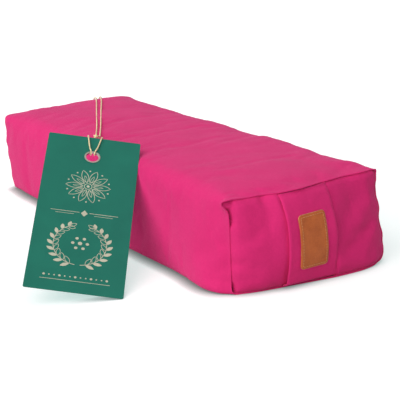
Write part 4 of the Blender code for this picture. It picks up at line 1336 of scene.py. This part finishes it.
def make_tape(name, side, node):
    """A woven tape with a raised cord along its inner edge and ribs across its width."""
    packed = placed(ZIP.inverted(), [v.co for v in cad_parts[node].data.vertices])
    low, high = packed.min(0), packed.max(0)
    wide = np.linspace(0.0, 1.0, TAPE_COLUMNS)
    rib = TAPE_RIB * np.cos(wide * 6 * math.pi) * (wide < 0.5)
    across = side * (COIL_GAP / 2 + wide * (high[1] - low[1]))
    y, x = np.meshgrid(across, np.linspace(low[0], high[0], TAPE_ROWS))
    grid = placed(ZIP, np.stack([x, y, high[2] - TAPE_DROP + rib + 0 * x], -1)).reshape(*x.shape, 3)
    shape = ribbon(grid[:, ::-side], high[2] - low[2] - TAPE_THINNER)
    add_piece(name, shape, tape_look, "cover", node, 60, cloth=shape[0][:, :, ::2])


def make_topstitching():
    """Two rows of stitches through the cover above and below the zip, and short bars at its ends."""
    first, last = 2 * END_ROWS, 2 * (END_ROWS + MIDDLE_ROWS)
    rows = body[first : last + 1]
    low, high = 2 * SLOT_FIRST, 2 * SLOT_LAST
    lines = [(mix(rows[:, low], rows[:, low - 1], ZIP_STITCH_OUT), ZIP_STITCH)]
    lines += [(mix(rows[:, high], rows[:, high + 1], ZIP_STITCH_OUT), ZIP_STITCH)]
    lines += [(body[row, low - 1 : high + 2], ZIP_BAR) for row in (first - 2, last + 2)]
    out = np.array(ZIP.col[2][:3])
    parts = [stitch_run(line + out * ZIP_THREAD_LIFT, out, *size, *ZIP_THREAD) for line, size in lines]
    add_piece("zip_topstitching", gathered(parts), pink_thread, "cover")


make_coil("zip_coil_turns_upper", 1, "zip_coil_upper")
make_coil("zip_coil_turns_lower", -1, "zip_coil_lower")
make_tape("zip_tape_woven_upper", 1, "zip_tape_upper")
make_tape("zip_tape_woven_lower", -1, "zip_tape_lower")
make_topstitching()


# Liner and filling inside the cover

LINER_BULGE = (0.010, 0.010)


def stuffed(node, room, depth, *cloud):
    """The cover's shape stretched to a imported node's box, less a little room, with dents up to depth."""
    points, faces = shell(0.0, LINER_BULGE, LINER_BULGE)[:2]
    low, high = (np.array(corner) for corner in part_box(node))
    first, last = points.min(0), points.max(0)
    points = low + room + (points - first) / (last - first) * (high - low - 2 * room)
    dents = np.clip(noise_at(points, *cloud), -1, 0)
    return points + outward(points) * (depth * dents)[:, None], faces


def make_liner():
    bag = stuffed("liner_bag", 0.0003, 0.0012, 0.022, 21, 0.5)
    add_piece("liner_bag_cloth", bag, lining_look, "cover", "liner_bag",
              cloth=bag[0][:, :2])
    heap = stuffed("buckwheat_filling", 0.0004, 0.0010, 0.006, 22)
    add_piece("buckwheat_hulls_heap", heap, hull_look, "cover", "buckwheat_filling")


make_liner()


# Print on the tag: a rosette, two garlands and a border of dots, as thin ink on the card's face

INK = 0.00006
# Lines of the print, from fine to bold
FINE = 0.0005
THIN = 0.0006
MIDDLING = 0.0007
BOLD = 0.0008
# How far a leaf leans away from its stem, in radians
LEAF_LEAN = 0.75


def band(line, width, closed=False):
    """A flat line of even width, as points (x, y) and faces."""
    line = np.asarray(line, float)
    run = unit(np.roll(line, -1, 0) - np.roll(line, 1, 0) if closed else np.gradient(line, axis=0))
    side = np.stack([-run[:, 1], run[:, 0]], 1) * width / 2
    index = np.arange(2 * len(line)).reshape(-1, 2)
    if closed:
        index = np.concatenate([index, index[:1]])
    return np.stack([line - side, line + side], 1).reshape(-1, 2), quads(index)


def polar(x, y, radius, angle, side=1):
    return np.stack([x + side * radius * np.cos(angle), y + radius * np.sin(angle)], -1)


def spot(x, y, radius):
    return polar(x, y, radius, np.linspace(0, 2 * math.pi, 14, endpoint=False)), [range(14)]


def petal_line(root, angle, length, width):
    """Outline of a pointed petal or leaf from its root."""
    run = np.linspace(0, 1, 12)
    half = width / 2 * np.sin(math.pi * run) ** 0.8
    shape = np.concatenate([np.stack([run * length, half], 1), np.stack([run * length, -half], 1)[-2:0:-1]])
    turn = np.array([[math.cos(angle), math.sin(angle)], [-math.sin(angle), math.cos(angle)]])
    return shape @ turn + root


def rosette(x, y, size):
    parts = []
    for angle in np.arange(10) * 2 * math.pi / 10:
        root = polar(x, y, 0.22 * size, angle)
        parts.append(band(petal_line(root, angle, 0.78 * size, 0.30 * size), MIDDLING, True))
        parts.append(band(petal_line(root, angle, 0.46 * size, 0.10 * size), FINE, True))
        parts.append(spot(*polar(x, y, 0.95 * size, angle + math.pi / 10), 0.0011))
    parts.append(band(polar(x, y, 0.17 * size, np.linspace(0, 2 * math.pi, 28)[:-1]), BOLD, True))
    parts.append(spot(x, y, 0.0019))
    return parts


def garland(x, y, radius, side):
    """A curved stem with leaves along it, from the bottom middle up one side."""
    end = math.pi / 3
    stem = polar(x, y, radius, np.linspace(-math.pi / 2 + 0.10, end, 40), side)
    leaves = []
    for k, angle in enumerate(np.linspace(-math.pi / 2 + 0.30, end - 0.02, 9)):
        leaves += [(polar(x, y, radius, angle, side), angle + lean, 0.0115 - 0.0004 * k, 0.0046)
                   for lean in (-LEAF_LEAN, LEAF_LEAN)]
    leaves.append((stem[-1], end, 0.010, 0.0042))
    parts = [band(stem, BOLD)]
    for k, (root, angle, *size) in enumerate(leaves):
        way = angle + math.pi / 2
        leaf = petal_line(root, way if side > 0 else math.pi - way, *size)
        full = k % 2 == 0 and k < len(leaves) - 1
        parts.append((leaf, [range(len(leaf))]) if full else band(leaf, THIN, True))
    return parts


def turned_up(points, face):
    """face with its corners in the order that shows it from the front."""
    x, y = points[list(face)].T
    return face if x @ np.roll(y, -1) > y @ np.roll(x, -1) else face[::-1]


def make_print():
    parts = rosette(0.0, 0.166, 0.0270)
    for side in (1, -1):
        parts += garland(0.0, 0.072, 0.0310, side)
        parts.append(band([(side * 0.006, 0.1225), (side * 0.040, 0.1225)], MIDDLING))
        parts.append(band([(side * 0.012, 0.1190), (side * 0.034, 0.1190)], FINE))
    diamond = np.array([(0.0, 0.1265), (0.0040, 0.1215), (0.0, 0.1165), (-0.0040, 0.1215)])
    parts.append((diamond, [range(4)]))
    parts += [spot(*polar(0.0, 0.074, 0.0085, math.pi * k / 3), 0.0020) for k in range(6)]
    parts.append(spot(0.0, 0.074, 0.0026))
    parts += [spot(-0.036 + 0.006 * k, 0.0225, 0.0009 if k % 3 else 0.0015) for k in range(13)]
    parts.append(band([(-0.040, 0.0165), (0.040, 0.0165)], THIN))
    shapes = []
    for points, faces in parts:
        raised = np.column_stack([points, np.full(len(points), CARD_THICKNESS / 2 + INK)])
        shapes.append((placed(CARD, raised), [turned_up(points, face) for face in faces]))
    add_piece("tag_print", gathered(shapes), cream_ink, "tag", angle=0, thickness=INK * 0.8)


make_print()


# What stays as it was packed, with finer edges and better looks

repaint("liner_closing_thread", cream_thread)
for node, look, edge in (
    ("zip_top_stop_upper", zip_metal, 0.0003),
    ("zip_top_stop_lower", zip_metal, 0.0003),
    ("zip_bottom_stop", zip_metal, 0.0003),
    ("zip_slider", zip_metal, 0.00025),
    ("zip_pull_tab", zip_metal, 0.00025),
    ("tag_card", green_card, 0.00012),
    ("tag_eyelet", eyelet_metal, 0.00010),
):
    repaint(node, look)
    bevel(node, edge)
